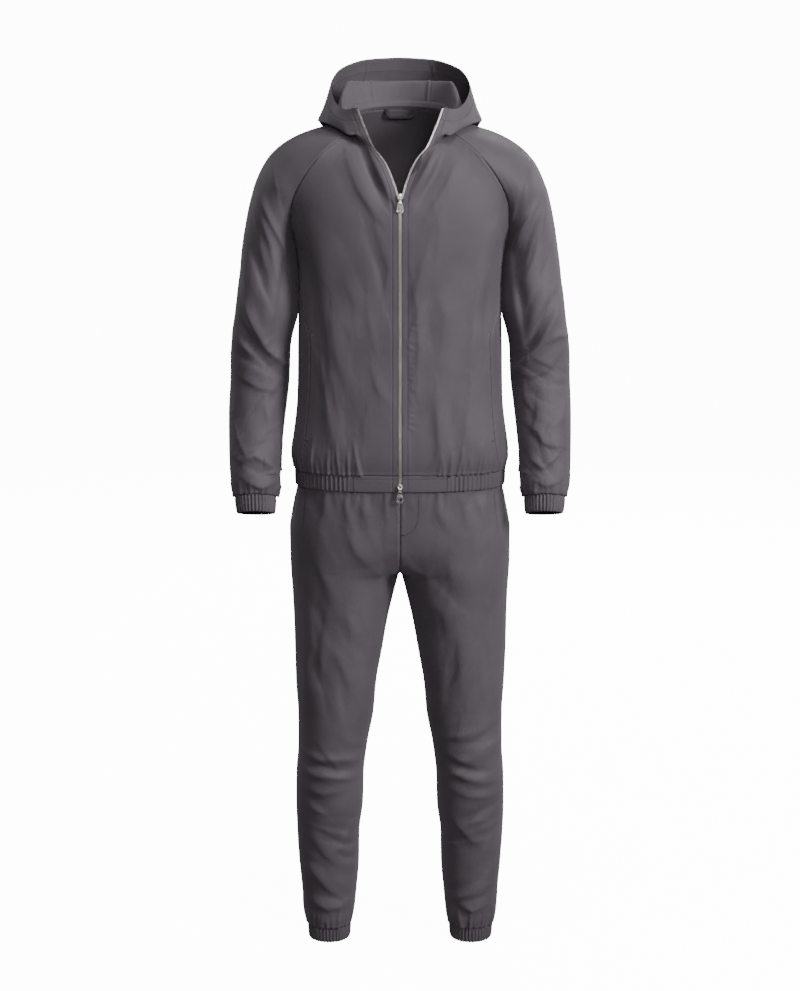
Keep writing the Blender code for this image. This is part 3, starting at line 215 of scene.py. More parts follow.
# Rise, from the crotch up to the hip: inner front point, its handle, inner back point,
# its handle, outer point, its front handle and back handle in y
RISE = np.array([
    [0, 4, -834, 0, -142.7, 0, 0, 4, -834, 0, 134.7, 0, 197.5, 4, -834, -142.7, 134.7],
    [0, -66, -828, 12, -52, 0, 0, 62, -828, 8, 60, 0, 198, 2, -821, -140, 134],
    [0, -101, -806, 20, -12, 0, 0, 95, -808, 12, 19, 0, 198.3, 1, -800, -138, 133],
    [0, -114, -780, 25, -2, 0, 0, 108, -782, 14, 4, 0, 198.6, 0, -776, -136, 132],
    [0, -118.5, -751, 28, 0, 0, 0, 112, -751, 15, 0, 0, 199, 0, -751, -135, 131],
])

# Leg rings: height, inner x, outer x, middle y, front depth, back depth
LEG = np.array([
    [-1504, 91, 172.5, 5, 45, 46],
    [-1494, 88, 175.5, 5, 49, 51],
    [-1474, 84, 180, 7, 54, 58],
    [-1444, 81, 181.5, 8, 58, 64],
    [-1386, 76, 186.5, 8, 64, 72],
    [-1328, 75, 190, 5, 68, 75],
    [-1270, 68, 191.5, 0, 72, 74],
    [-1213, 66.5, 190.5, -4, 74, 72],
    [-1155, 59.5, 187, -3, 77, 74],
    [-1098, 48.5, 187, 0, 82, 80],
    [-1042, 43.5, 190.5, 2, 87, 85],
    [-985, 33.5, 192.2, 3, 92, 90],
    [-929, 23.5, 193, 4, 98, 95],
    [-873, 10.5, 195, 4, 103, 99],
    [-834, 0, 197.5, 4, 107, 101],
])

SIDES = ((-1, "right"), (1, "left"))
ROOT = "garment"
FLOOR_Z = -1.5335

# How each piece was cut: width and length in metres, how it is held, and its flat area
CUTS = {
    "front": ((0.26, 0.71), "hung", 0.111),
    "back": ((0.71, 0.75), "hung", 0.34),
    "sleeve_front": ((0.21, 0.80), "hung", 0.120),
    "sleeve_back": ((0.21, 0.80), "hung", 0.128),
    "hood_side": ((0.36, 0.45), "draped", 0.056),
    "hood_centre": ((0.17, 0.48), "draped", 0.063),
    "leg_front": ((0.33, 1.02), "hung", 0.225),
    "leg_back": ((0.33, 1.02), "hung", 0.225),
    "cuff": ((0.29, 0.032), "gathered"),
    "ankle": ((0.32, 0.031), "gathered"),
    "hem_front": ((0.082, 0.031), "hung"),
    "hem_back": ((1.02, 0.031), "gathered"),
    "waist": ((0.98, 0.042), "gathered"),
    "welt": ((0.011, 0.20), "hung"),
    "zip_tape": ((0.0135, 0.76), "hung"),
    "neck_tape": ((0.012, 0.30), "hung"),
}


# Thickness of the shown cloth and of the bands
SHELL = 1.5
BAND_SHELL = 2.2

# Ribs of the bands: depth, and how many go round each
RIB_DEEP = 1.5
HEM_RIBS = 112
CUFF_RIBS = 34
ANKLE_RIBS = 38

# Share of half the hem, from the zip round, that its flat piece takes
FLAT_SHARE = 0.185

# Heights of the pocket welts' ends
POCKET_LOW = -585.0
POCKET_HIGH = -392.0

# How high the creases stand against their table
FOLD_LIFT = 1.35

# Creases: face (-1 front, 1 back), half width, height, then x and z of each point
CREASES = (
    # Right armpit and upper arm, at the left of the photo
    (-1, 11, 3.6, -227, -95, -209, -147, -197, -194, -178, -239),
    (-1, 7, 3.2, -244, -158, -222, -208, -202, -250, -186, -300),
    (-1, 9, 2.2, -256, -170, -246, -234, -236, -279),
    (-1, 9, -3.2, -214, -120, -204, -170, -192, -215, -184, -246),
    # Inner sides of the sleeves and the sides of the jacket, which lie in their own shade
    (-1, 12, -5, -196, -232, -203, -300, -211, -360, -222, -420),
    (-1, 12, -5, 196, -232, 203, -300, 212, -360, 224, -420),
    (-1, 10, -3.2, -178, -212, -182, -300, -180, -400, -174, -520),
    (-1, 10, -3.2, 178, -212, 182, -300, 180, -400, 174, -520),
    # Long folds down the upper sleeves
    (-1, 10, 3, -262, -120, -246, -180, -226, -240, -214, -300),
    (-1, 9, -2.6, -276, -190, -262, -250, -240, -310, -222, -350),
    (-1, 10, 2.4, -284, -230, -276, -290, -262, -340),
    (-1, 10, 3, 268, -120, 250, -180, 230, -240, 214, -300),
    (-1, 9, -2.6, 280, -190, 264, -250, 244, -310, 224, -350),
    (-1, 10, 2.4, 288, -230, 280, -290, 264, -340),
    # Right elbow
    (-1, 9, 5, -284, -314, -268, -358, -255, -388, -234, -425, -198, -461),
    (-1, 9, -3, -296, -352, -280, -394, -258, -428, -220, -466),
    (-1, 8, -2.6, -290, -345, -280, -385, -262, -410),
    (-1, 8, 2.6, -298, -398, -286, -414, -262, -432),
    (-1, 10, -2.4, -292, -430, -262, -448, -226, -466),
    (-1, 9, 2, -288, -470, -250, -492, -214, -500),
    # Right forearm
    (-1, 10, 2.8, -301, -532, -290, -566, -280, -594, -268, -612),
    (-1, 9, -2.2, -292, -545, -276, -590),
    (-1, 8, 2.8, -295, -612, -279, -621, -257, -609, -238, -621, -220, -636),
    (-1, 7, 2.2, -270, -655, -245, -666, -222, -659),
    (-1, 10, 1.8, -238, -520, -226, -570, -220, -606),
    (-1, 8, -1.8, -262, -634, -238, -644),
    # Left armpit and upper arm
    (-1, 11, 3.6, 233, -101, 216, -147, 197, -197, 187, -236),
    (-1, 7, 3.2, 242, -164, 211, -216, 190, -262, 184, -298),
    (-1, 9, 2.4, 252, -152, 248, -206, 233, -269, 217, -307),
    (-1, 9, -3.4, 218, -128, 206, -174, 195, -216, 188, -242),
    (-1, 12, -2.6, 268, -288, 272, -342),
    # Left elbow
    (-1, 9, 5, 288, -321, 270, -363, 242, -420, 213, -453, 199, -468),
    (-1, 9, -3.4, 268, -332, 250, -368, 230, -408, 202, -440),
    (-1, 8, 2.8, 264, -410, 278, -402, 297, -405),
    (-1, 8, 2.2, 236, -439, 254, -448, 272, -456),
    (-1, 10, -2.2, 292, -432, 262, -470, 228, -482),
    # Left forearm
    (-1, 9, 2.8, 223, -558, 243, -567, 252, -587, 275, -594),
    (-1, 8, 2.6, 231, -616, 250, -630, 278, -609),
    (-1, 10, -2.4, 225, -576, 237, -519),
    (-1, 9, 2, 296, -500, 286, -545, 262, -560),
    (-1, 7, 2, 236, -650, 256, -662, 280, -655),
    # Chest and front drag lines
    (-1, 13, 4.4, -60, -58, -40, -105, -17, -156),
    (-1, 9, -3.2, -72, -64, -54, -112, -28, -168),
    (-1, 12, 2.2, -92, -88, -72, -140, -40, -190),
    (-1, 13, 4.2, 68, -62, 46, -108, 20, -154),
    (-1, 9, -3.2, 80, -72, 56, -120, 30, -168),
    (-1, 12, 2.2, 100, -92, 78, -142, 46, -192),
    (-1, 16, -2.2, -60, -210, -34, -280, -22, -350),
    (-1, 16, 2, 60, -206, 38, -280, 24, -350),
    (-1, 18, 2.8, -160, -215, -142, -280, -126, -380, -118, -470),
    (-1, 15, -2.4, -170, -245, -154, -320, -146, -420),
    (-1, 18, 2.8, 160, -215, 144, -280, 130, -380, 122, -460),
    (-1, 15, -2.4, 172, -245, 154, -320, 146, -420),
    (-1, 16, 1.6, -136, -470, -120, -540, -112, -600),
    (-1, 15, 1.6, 128, -470, 118, -545, 112, -604),
    (-1, 14, -1.3, -98, -520, -92, -590),
    (-1, 14, -1.3, 92, -500, 90, -590),
    (-1, 14, 1.5, 62, -500, 66, -560, 72, -612),
    (-1, 14, 1.3, -60, -540, -64, -612),
    (-1, 9, 1.4, 20, -300, 30, -350, 34, -420, 30, -500),
    # Back and shoulder blades
    (1, 12, 3.2, -200, -118, -188, -170, -176, -225),
    (1, 12, 3.2, 202, -122, 190, -172, 178, -222),
    (1, 10, -2.4, -186, -130, -172, -190, -166, -240),
    (1, 10, -2.4, 188, -134, 174, -190, 168, -238),
    (1, 22, 2, -150, -230, -120, -320, -110, -420, -118, -520),
    (1, 22, 2, 152, -226, 118, -318, 106, -424, 112, -520),
    (1, 20, -1.6, -80, -180, -84, -320, -74, -480),
    (1, 20, -1.6, 78, -190, 86, -330, 78, -470),
    (1, 24, 1.6, 4, -160, -8, -330, 6, -520),
    (1, 14, 1.8, -140, -470, -60, -500, 20, -492),
    (1, 14, -1.5, 140, -500, 60, -530, -30, -524),
    # Backs of the sleeves
    (1, 12, 4.2, -290, -385, -256, -410, -214, -440),
    (1, 11, -3.6, -292, -420, -256, -440, -218, -462),
    (1, 10, 3, -288, -455, -250, -472, -214, -478),
    (1, 12, 4.2, 292, -392, 258, -416, 214, -446),
    (1, 11, -3.6, 292, -428, 256, -448, 218, -470),
    (1, 10, 3, 290, -462, 252, -480, 214, -486),
    (1, 10, 2.6, -196, -240, -226, -300, -240, -350),
    (1, 10, 2.6, 196, -236, 230, -300, 244, -348),
    (1, 9, 2.4, -284, -560, -256, -590, -224, -598),
    (1, 9, 2.4, 286, -566, 256, -596, 224, -604),
    (1, 8, 2, -290, -625, -258, -640, -226, -634),
    (1, 8, 2, 290, -628, 258, -644, 226, -640),
    # Trouser fronts
    (-1, 11, 2.6, -130, -690, -136, -716, -142, -742),
    (-1, 10, 1.2, 62, -690, 72, -718, 84, -740),
    (-1, 10, 2.2, -96, -684, -88, -730),
    (-1, 9, 1.8, -70, -684, -62, -720),
    (-1, 9, 1.8, 110, -684, 118, -728),
    (-1, 10, 2, 140, -686, 148, -728),
    (-1, 16, -1.6, 20, -796, 50, -822, 84, -852, 110, -884),
    (-1, 12, 1.2, 30, -846, 54, -880, 70, -930),
    (-1, 18, -1.3, -20, -800, -60, -812, -100, -818),
    (-1, 14, 1, 64, -880, 78, -900, 84, -930),
    (-1, 14, 1, -36, -830, -60, -870, -70, -930),
    (-1, 16, 2.2, -93, -898, -86, -930, -83, -970),
    (-1, 14, 2, -115, -967, -100, -1004, -88, -1041),
    (-1, 14, 1.8, -170, -887, -167, -960, -168, -1029, -177, -1100),
    (-1, 14, 1.8, 160, -880, 162, -960, 168, -1040),
    (-1, 18, 1.8, 104, -900, 108, -980, 116, -1060),
    (-1, 8, 2.2, -176, -1160, -150, -1172, -122, -1182),
    (-1, 8, 2.4, -160, -1204, -130, -1202, -91, -1210),
    (-1, 10, -1.8, -166, -1186, -130, -1190, -96, -1194),
    (-1, 9, 1.6, -176, -1232, -140, -1236, -104, -1230),
    (-1, 8, 2.2, 90, -1164, 112, -1174, 142, -1184),
    (-1, 8, 2.4, 96, -1198, 120, -1206, 158, -1216),
    (-1, 10, -1.8, 94, -1182, 126, -1192, 164, -1196),
    (-1, 9, 1.6, 92, -1228, 124, -1240, 168, -1244),
    (-1, 11, 2, 88, -1280, 112, -1306, 146, -1341),
    (-1, 11, 2.4, -176, -1372, -150, -1404, -116, -1440),
    (-1, 12, 2.4, -88, -1300, -110, -1340, -140, -1366),
    (-1, 12, 2.4, 174, -1380, 150, -1412, 112, -1438),
    (-1, 9, 2.4, -160, -1452, -132, -1466, -104, -1458),
    (-1, 9, 2.4, 108, -1456, 134, -1468, 162, -1456),
    # Trouser backs
    (1, 13, 3.2, -172, -1176, -130, -1184, -88, -1192),
    (1, 13, -3.2, -170, -1200, -130, -1208, -90, -1212),
    (1, 12, 3, -168, -1226, -126, -1232, -92, -1230),
    (1, 13, 3.2, 86, -1180, 128, -1188, 170, -1196),
    (1, 13, -3.2, 88, -1204, 130, -1212, 170, -1218),
    (1, 12, 3, 90, -1230, 128, -1238, 168, -1240),
    (1, 15, 3, -36, -850, -80, -862, -134, -884),
    (1, 15, 3, 38, -848, 84, -862, 136, -888),
    (1, 14, -2.4, -34, -876, -84, -892, -140, -906),
    (1, 14, -2.4, 36, -876, 86, -894, 142, -910),
    (1, 18, 2, -110, -920, -112, -1000, -120, -1080),
    (1, 18, 2, 112, -920, 114, -1000, 120, -1080),
    (1, 13, 2.8, -174, -1300, -140, -1340, -104, -1370),
    (1, 13, 2.8, 172, -1306, 142, -1344, 106, -1376),
    (1, 10, 2.4, -166, -1440, -130, -1458, -98, -1450),
    (1, 10, 2.4, 98, -1446, 132, -1460, 168, -1448),
)

# Runs of gathers: middle x and y, edge height, reach (up is more than 0), first and last
# turn round the middle in degrees from the front towards +X, count, half width, height
GATHERS = (
    (0, 0, -642, 60, 27, 333, 104, 2, 3.6),
    (0, 0, -671, -56, -180, 180, 96, 3.2, 2),
    (257, -64, -688, 44, -180, 180, 30, 2.6, 3.6),
    (-257, -64, -688, 44, -180, 180, 30, 2.6, 3.6),
    (131.7, 5, -1504, 44, -180, 180, 34, 2.5, 3.4),
    (-131.7, 5, -1504, 44, -180, 180, 34, 2.5, 3.4),
)

# Areas with small soft rucks, alike on both sides: face, x range, z range, turn from upright
# in degrees at +X, its spread, count, half width and height
RUCKS = (
    (-1, 215, 285, -640, -420, 48, 26, 20, 6, 0.8),
    (1, 212, 285, -640, -300, 50, 26, 26, 6, 0.8),
    (-1, 20, 165, -620, -200, -10, 16, 20, 13, 0.9),
    (1, 10, 165, -620, -140, -8, 22, 22, 13, 1),
    (-1, 25, 175, -1100, -700, -12, 22, 24, 12, 1),
    (-1, 80, 178, -1470, -1120, -62, 26, 34, 8, 1.1),
    (1, 25, 175, -1100, -700, -20, 26, 24, 12, 1),
    (1, 80, 178, -1470, -1120, -66, 26, 34, 8, 1.1),
)


def grids(u, v):
    """Two places as grids of one shape."""
    return np.broadcast_arrays(np.asarray(u, float), np.asarray(v, float))


def both_halves(p, u):
    """A half surface's points, with those past the middle turned to the other side."""
    p[..., 0] = np.where(u > 0.5, -p[..., 0], p[..., 0])
    return p


def unit(n):
    """Directions made one unit long, and left alone where they are nothing."""
    return n / np.maximum(np.linalg.norm(n, axis=-1, keepdims=True), 1e-9)


def distances(points):
    """How far each point of a line is along it."""
    return np.concatenate([[0], np.cumsum(np.linalg.norm(np.diff(points, axis=0), axis=1))])


def between(far, values, at):
    """Values of a line's points, read at distances along it."""
    return np.stack([np.interp(at, far, column) for column in values.T], axis=-1)


def blend(start, leaving, end, arriving, s):
    """A smooth line between two points, with its slope at each."""
    return (
        start * (2 * s**3 - 3 * s**2 + 1)
        + leaving * (s**3 - 2 * s**2 + s)
        + end * (3 * s**2 - 2 * s**3)
        + arriving * (s**3 - s**2)
    )


def curve(table, t):
    """A smooth line through a table's rows that keeps within them. Column 0 is the place."""
    keys = table[:, 0]
    rows = table[:, 1:]
    t = np.clip(np.asarray(t, float), keys[0], keys[-1])
    step = np.diff(keys)[:, None]
    slope = np.diff(rows, axis=0) / step
    tangent = np.zeros_like(rows)
    same = slope[:-1] * slope[1:] > 0
    total = slope[:-1] + slope[1:]
    total = np.where(np.abs(total) < 1e-12, 1.0, total)
    tangent[1:-1] = np.where(same, 2 * slope[:-1] * slope[1:] / total, 0.0)
    tangent[0] = slope[0]
    tangent[-1] = slope[-1]
    k = np.clip(np.searchsorted(keys, t, side="right") - 1, 0, len(keys) - 2)
    h = (keys[k + 1] - keys[k])[..., None]
    s = ((t - keys[k]) / (keys[k + 1] - keys[k]))[..., None]
    return blend(rows[k], tangent[k] * h, rows[k + 1], tangent[k + 1] * h, s)


def evenly(table, t):
    """The same line through a table whose rows are evenly spaced from 0 to 1."""
    keys = np.linspace(0.0, 1.0, len(table))[:, None]
    return curve(np.hstack([keys, table]), t)


def arc(start, start_handle, end, end_handle, u):
    """A bent row between two points, with a handle at each."""
    u = np.asarray(u, float)[..., None]
    a = start + start_handle
    b = end + end_handle
    return (
        start * (1 - u) ** 3
        + 3 * a * u * (1 - u) ** 2
        + 3 * b * u**2 * (1 - u)
        + end * u**3
    )


def ring(angle, wide, front, back):
    """A point of a rounded body section, at an angle from the front towards +X."""
    sine = np.abs(np.sin(angle))
    cosine = np.cos(angle)
    deep = np.where(cosine > 0, front, back)
    far = ((sine / wide) ** SQUARE + (np.abs(cosine) / deep) ** SQUARE) ** (-1 / SQUARE)
    return far * np.sin(angle), -far * cosine


def stack(x, y, z):
    return np.stack([x, y, z + 0 * x], axis=-1)


def body_ring(row, angle, bend):
    """A body ring at angles, drawn forward near the side seam as far as bend says."""
    angle = angle - (math.pi / 2 - np.radians(row[..., 3])) * bend**SEAM_BEND
    return ring(angle, row[..., 0], row[..., 1], row[..., 2])


def front_low(u, z):
    row = curve(TRUNK, z)
    start = np.arctan2(ZIP_HALF, row[..., 1])
    x, y = body_ring(row, start + (math.pi / 2 - start) * u, u)
    return stack(x, y, z)


def front_high(u, w):
    edge = evenly(ZIP_EDGE, w)
    seam = evenly(RAGLAN_FRONT, w)
    return arc(edge[..., :3], edge[..., 3:], seam[..., :3], seam[..., 3:6], u)


def back_low(u, z):
    row = curve(TRUNK, z)
    x, y = body_ring(row, math.pi / 2 + math.pi / 2 * u, 1 - u)
    return stack(x, y, z)


def back_high(u, w):
    middle = evenly(CENTRE_BACK, w)
    seam = evenly(RAGLAN_BACK, w)
    return arc(seam[..., :3], seam[..., 3:6], middle[..., :3], middle[..., 3:], u)


def fading(w, far):
    return np.clip(1 - w / far, 0, 1)[..., None] ** 2


def body_panel(low_part, high_part, u, v):
    """Rings up to the underarm and bent rows above it, with no step where they meet."""
    low = np.clip(v / SPLIT, 0, 1)
    w = np.clip((v - SPLIT) / (1 - SPLIT), 0, 1)
    bottom = low_part(u, HEM_TOP + (UNDERARM - HEM_TOP) * low)
    zero = 0 * w
    fix = low_part(u, UNDERARM + zero) - high_part(u, zero)
    top = high_part(u, w) + fix * fading(w, 0.5)
    return np.where((v < SPLIT)[..., None], bottom, top)


def front(u, v):
    """Front panel, from the zip edge (u 0) to the side or raglan seam, hem to neck."""
    return body_panel(front_low, front_high, *grids(u, v))


def half_back(u, v):
    return body_panel(back_low, back_high, *grids(u, v))


def back(u, v):
    """Back panel, from the seam at +X (u 0) to the one at -X (u 1), hem to neck."""
    u, v = grids(u, v)
    return both_halves(half_back(1 - np.abs(1 - 2 * u), v), u)


def tube(u, row, face):
    """Half of a sleeve ring, from its inner point to its outer one, on one face."""
    lean = np.tan(np.radians(row[..., 5]))
    zero = 0 * lean
    inner = stack(row[..., 1] - row[..., 2], row[..., 3], row[..., 0])
    outer = stack(row[..., 1] + row[..., 2], row[..., 3], row[..., 0])
    deep = face * row[..., 4] * 4 / 3
    handle = stack(zero, deep, -deep * lean)
    return arc(inner, handle, outer, handle, u)


def sleeve_low(u, z, face):
    row = curve(SLEEVE, z)
    return tube(u, np.concatenate([(z + 0 * row[..., 0])[..., None], row], axis=-1), face)


def sleeve(u, v, face):
    """Sleeve half, from the underarm or raglan seam (u 0) to the overarm line, cuff to neck."""
    u, v = grids(u, v)
    low = np.clip(v / SLEEVE_SPLIT, 0, 1)
    w = np.clip((v - SLEEVE_SPLIT) / (1 - SLEEVE_SPLIT), 0, 1)
    z = SLEEVE[0, 0] + (UNDERARM - SLEEVE[0, 0]) * low
    seam = evenly(RAGLAN_FRONT if face < 0 else RAGLAN_BACK, w)
    top = evenly(OVERARM, w)
    side = top[..., 3:6] if face < 0 else top[..., 6:9]
    high = arc(seam[..., :3], seam[..., 6:9], top[..., :3], side, u)
    return np.where((v < SLEEVE_SPLIT)[..., None], sleeve_low(u, z, face), high)


def sleeve_front(u, v):
    return sleeve(u, v, -1)


def sleeve_back(u, v):
    return sleeve(u, v, 1)


def neck(s):
    """The neck seam, from the zip (0) to the centre back (1)."""
    one = np.ones_like(s)
    parts = (
        (0.0, 0.34, front, False),
        (0.34, 0.5, sleeve_front, False),
        (0.5, 0.72, sleeve_back, True),
        (0.72, 1.0, half_back, False),
    )
    out = np.zeros(s.shape + (3,))
    for start, end, surface, turned in parts:
        t = np.clip((s - start) / (end - start), 0, 1)
        p = surface(1 - t if turned else t, one)
        inside = ((s >= start) & (s <= end))[..., None]
        out = np.where(inside, p, out)
    return out


def hood(s, v):
    """Hood, from the zip edge (s 0) to the centre back (s 1), neck seam to rim."""
    s, v = grids(s, v)
    rows = curve(HOOD, s)
    foot = neck(s) + np.array([0.0, 0.0, 0.45])
    knots = np.stack([foot] + [rows[..., 3 * k:3 * k + 3] for k in range(5)], axis=-2)
    k = np.clip(np.searchsorted(HOOD_STEPS, v, side="right") - 1, 0, 4)
    width = HOOD_STEPS[k + 1] - HOOD_STEPS[k]
    t = ((v - HOOD_STEPS[k]) / width)[..., None]

    def pick(i):
        i = np.clip(i, 0, 5)
        return np.take_along_axis(knots, i[..., None, None], axis=-2)[..., 0, :]

    def bend(i):
        before = HOOD_STEPS[np.clip(i - 1, 0, 5)]
        after = HOOD_STEPS[np.clip(i + 1, 0, 5)]
        return (pick(i + 1) - pick(i - 1)) / (after - before)[..., None]

    h = width[..., None]
    return blend(pick(k), bend(k) * h, pick(k + 1), bend(k + 1) * h, t)


def hip_ring(u, z, face):
    row = curve(HIPS, z)
    angle = math.pi / 2 * u if face < 0 else math.pi - math.pi / 2 * u
    x, y = ring(angle, row[..., 0], row[..., 1], row[..., 2])
    return stack(x, y, z)


def rise_row(u, w, face):
    row = evenly(RISE, w)
    k = 0 if face < 0 else 6
    side = row[..., 15] if face < 0 else row[..., 16]
    zero = 0 * side
    return arc(
        row[..., k:k + 3], row[..., k + 3:k + 6], row[..., 12:15], stack(zero, side, zero), u
    )


def leg_ring(u, z, face):
    row = curve(LEG, z)
    zero = 0 * row[..., 0]
    inner = stack(row[..., 0], row[..., 2], z)
    outer = stack(row[..., 1], row[..., 2], z)
    deep = -row[..., 3] if face < 0 else row[..., 4]
    handle = stack(zero, deep * 4 / 3, zero)
    return arc(inner, handle, outer, handle, u)


def leg(u, v, face):
    """Trouser panel, from the inside leg or middle seam (u 0) to the outer seam."""
    u, v = grids(u, v)
    z = np.interp(v, LEG_KNOT, (ANKLE, CROTCH, HIP, WAIST_BOTTOM - 0.3))
    w = np.clip((v - LEG_KNOT[1]) / (LEG_KNOT[2] - LEG_KNOT[1]), 0, 1)
    low = leg_ring(u, np.minimum(z, CROTCH), face)
    one = np.ones_like(w)
    fix = hip_ring(u, HIP * one, face) - rise_row(u, one, face)
    middle = rise_row(u, w, face) + fix * fading(1 - w, 0.9)
    high = hip_ring(u, np.maximum(z, HIP), face)
    out = np.where((v < LEG_KNOT[1])[..., None], low, middle)
    return np.where((v > LEG_KNOT[2])[..., None], high, out)


def leg_front(u, v):
    return leg(u, v, -1)


def leg_back(u, v):
    return leg(u, v, 1)


def normals(surface, u, v, sign):
    """Unit outward directions of a surface."""
    u, v = grids(u, v)
    d = 2e-3
    u0 = np.clip(u - d, 0, 1)
    u1 = np.clip(u + d, 0, 1)
    v0 = np.clip(v - d, 0, 1)
    v1 = np.clip(v + d, 0, 1)
    return unit(np.cross(surface(u1, v) - surface(u0, v), surface(u, v1) - surface(u, v0)) * sign)


def seam_normals(surface, edge, sign, split, other_split):
    """Normals of a neighbour at a raglan seam, and none below it."""
    def at(vs):
        same = other_split + (1 - other_split) * np.clip((vs - split) / (1 - split), 0, 1)
        n = normals(surface, edge + 0 * vs, same, sign)
        return np.where((vs > split + 1e-6)[:, None], n, 0.0)
    return at


def edge_normals(surface, edge, sign):
    """Normals of a neighbour all along one edge."""
    def at(vs):
        return normals(surface, edge + 0 * vs, vs, sign)
    return at


def mirrored_normals(at):
    def turned(vs):
        return mirror(at(vs))
    return turned


def zip_line(part, count, start=0.0, end=1.0):
    """Rows along the zip edge of a surface."""
    return [(part, v) for v in np.linspace(start, end, count)]


def edge_frames(rows, step=0.02):
    """Point, direction into the cloth and outward direction at rows of the zip edge."""
    frames = []
    zero = np.array([0.0])
    for surface, v in rows:
        v = np.array([v])
        p = surface(zero, v)[0]
        d = surface(zero + step, v)[0] - p
        n = normals(surface, zero, v, 1)[0]
        frames.append((p, d / np.linalg.norm(d), n, surface, v, step / np.linalg.norm(d)))
    return frames


def hem_ring(u, v):
    """Hem band, from the zip edge (u 0) to the centre back (u 1)."""
    u, v = grids(u, v)
    z = HEM_BOTTOM + (HEM_TOP - 0.1 - HEM_BOTTOM) * v
    row = curve(TRUNK, z)
    start = np.arctan2(ZIP_HALF, row[..., 1])
    x, y = ring(start + (math.pi - start) * u, row[..., 0], row[..., 1], row[..., 2])
    return stack(x, y, z)


def cuff(u, v):
    """Sleeve cuff, round from the inner point by the front, bottom to top."""
    u, v = grids(u, v)
    u = np.mod(u, 1.0)
    top = SLEEVE[0]
    lean = math.radians(top[5])
    row = np.zeros(u.shape + (6,))
    drop = (1 - v) * CUFF_DROP + SEAM
    row[..., 0] = top[0] - drop * math.cos(lean)
    row[..., 1] = top[1] - 1.0 * (1 - v)
    row[..., 2] = top[2] - 3.0 * (1 - v)
    row[..., 3] = top[3] - drop * math.sin(lean)
    row[..., 4] = top[4] - 3.0 * (1 - v)
    row[..., 5] = top[5]
    t = np.where(u < 0.5, 2 * u, 2 - 2 * u)
    return np.where((u < 0.5)[..., None], tube(t, row, -1), tube(t, row, 1))


def ankle(u, v):
    """Ankle cuff, round from the inside leg by the front, bottom to top."""
    u, v = grids(u, v)
    u = np.mod(u, 1.0)
    z = ANKLE - SEAM - (1 - v) * (ANKLE - ANKLE_BOTTOM)
    zero = 0 * z
    top = LEG[0]
    inner = stack(top[1] + 1.5 * (1 - v), top[3] + zero, z)
    outer = stack(top[2] - 1.5 * (1 - v), top[3] + zero, z)
    t = np.where(u < 0.5, 2 * u, 2 - 2 * u)
    ahead = stack(zero, -top[4] * 4 / 3 + zero, zero)
    behind = stack(zero, top[5] * 4 / 3 + zero, zero)
    return np.where(
        (u < 0.5)[..., None], arc(inner, ahead, outer, ahead, t), arc(inner, behind, outer, behind, t)
    )


def waist(u, v):
    """Waistband, round from the centre front, bottom to top."""
    u, v = grids(u, v)
    z = WAIST_BOTTOM + (WAIST_TOP - WAIST_BOTTOM) * v
    row = HIPS[-1]
    wide, ahead, behind = (row[k] - 3.0 * v for k in (1, 2, 3))
    x, y = ring(2 * math.pi * u, wide, ahead, behind)
    return stack(x, y, z)


def rows_between(*parts):
    """Joined runs of evenly spaced rows: (start, end, count) for each."""
    out = []
    for start, end, count in parts:
        run = np.linspace(start, end, count + 1)
        out.extend(run if not out else run[1:])
    return np.array(out)


def ring_outward(us):
    """Outward directions round the waistband."""
    before = waist(us - 1e-3, 0 * us)
    after = waist(us + 1e-3, 0 * us)
    return unit(np.cross(after - before, np.array([0.0, 0.0, 1.0])))


def scattered():
    """Small soft rucks at places drawn once from a fixed seed, as rows like those of CREASES."""
    draw = np.random.default_rng(7)
    rows = []
    for face, x0, x1, z0, z1, turn, spread, count, half, high in RUCKS:
        for side in np.repeat((-1, 1), count):
            x = side * draw.uniform(x0, x1)
            z = draw.uniform(z0, z1)
            lean = math.radians(side * turn + draw.uniform(-spread, spread))
            reach = half * draw.uniform(3.0, 6.5)
            bend = reach * draw.uniform(-0.25, 0.25)
            dx = math.sin(lean) * reach
            dz = -math.cos(lean) * reach
            size = high * draw.uniform(0.4, 1.3) * draw.choice([-1, 1])
            wide = half * draw.uniform(0.7, 1.4)
            line = (x - dx, z - dz, x + dz * bend / reach, z - dx * bend / reach, x + dx, z + dz)
            rows.append((face, wide, size, *line))
    return rows


def puckers():
    """Short tucks beside the zip, where the cloth is eased onto its tape."""
    draw = np.random.default_rng(9)
    rows = []
    z = -372.0
    while z > -562:
        long = draw.uniform(7, 19)
        drop = draw.uniform(1, 8)
        size = draw.uniform(0.25, 0.75)
        line = (14.5, z, 14.5 + long / 2, z - drop * 0.4, 14.5 + long, z - drop)
        rows.append((-1, draw.uniform(1.9, 3.0), size, *line))
        z -= draw.uniform(5.5, 13.0)
    return rows


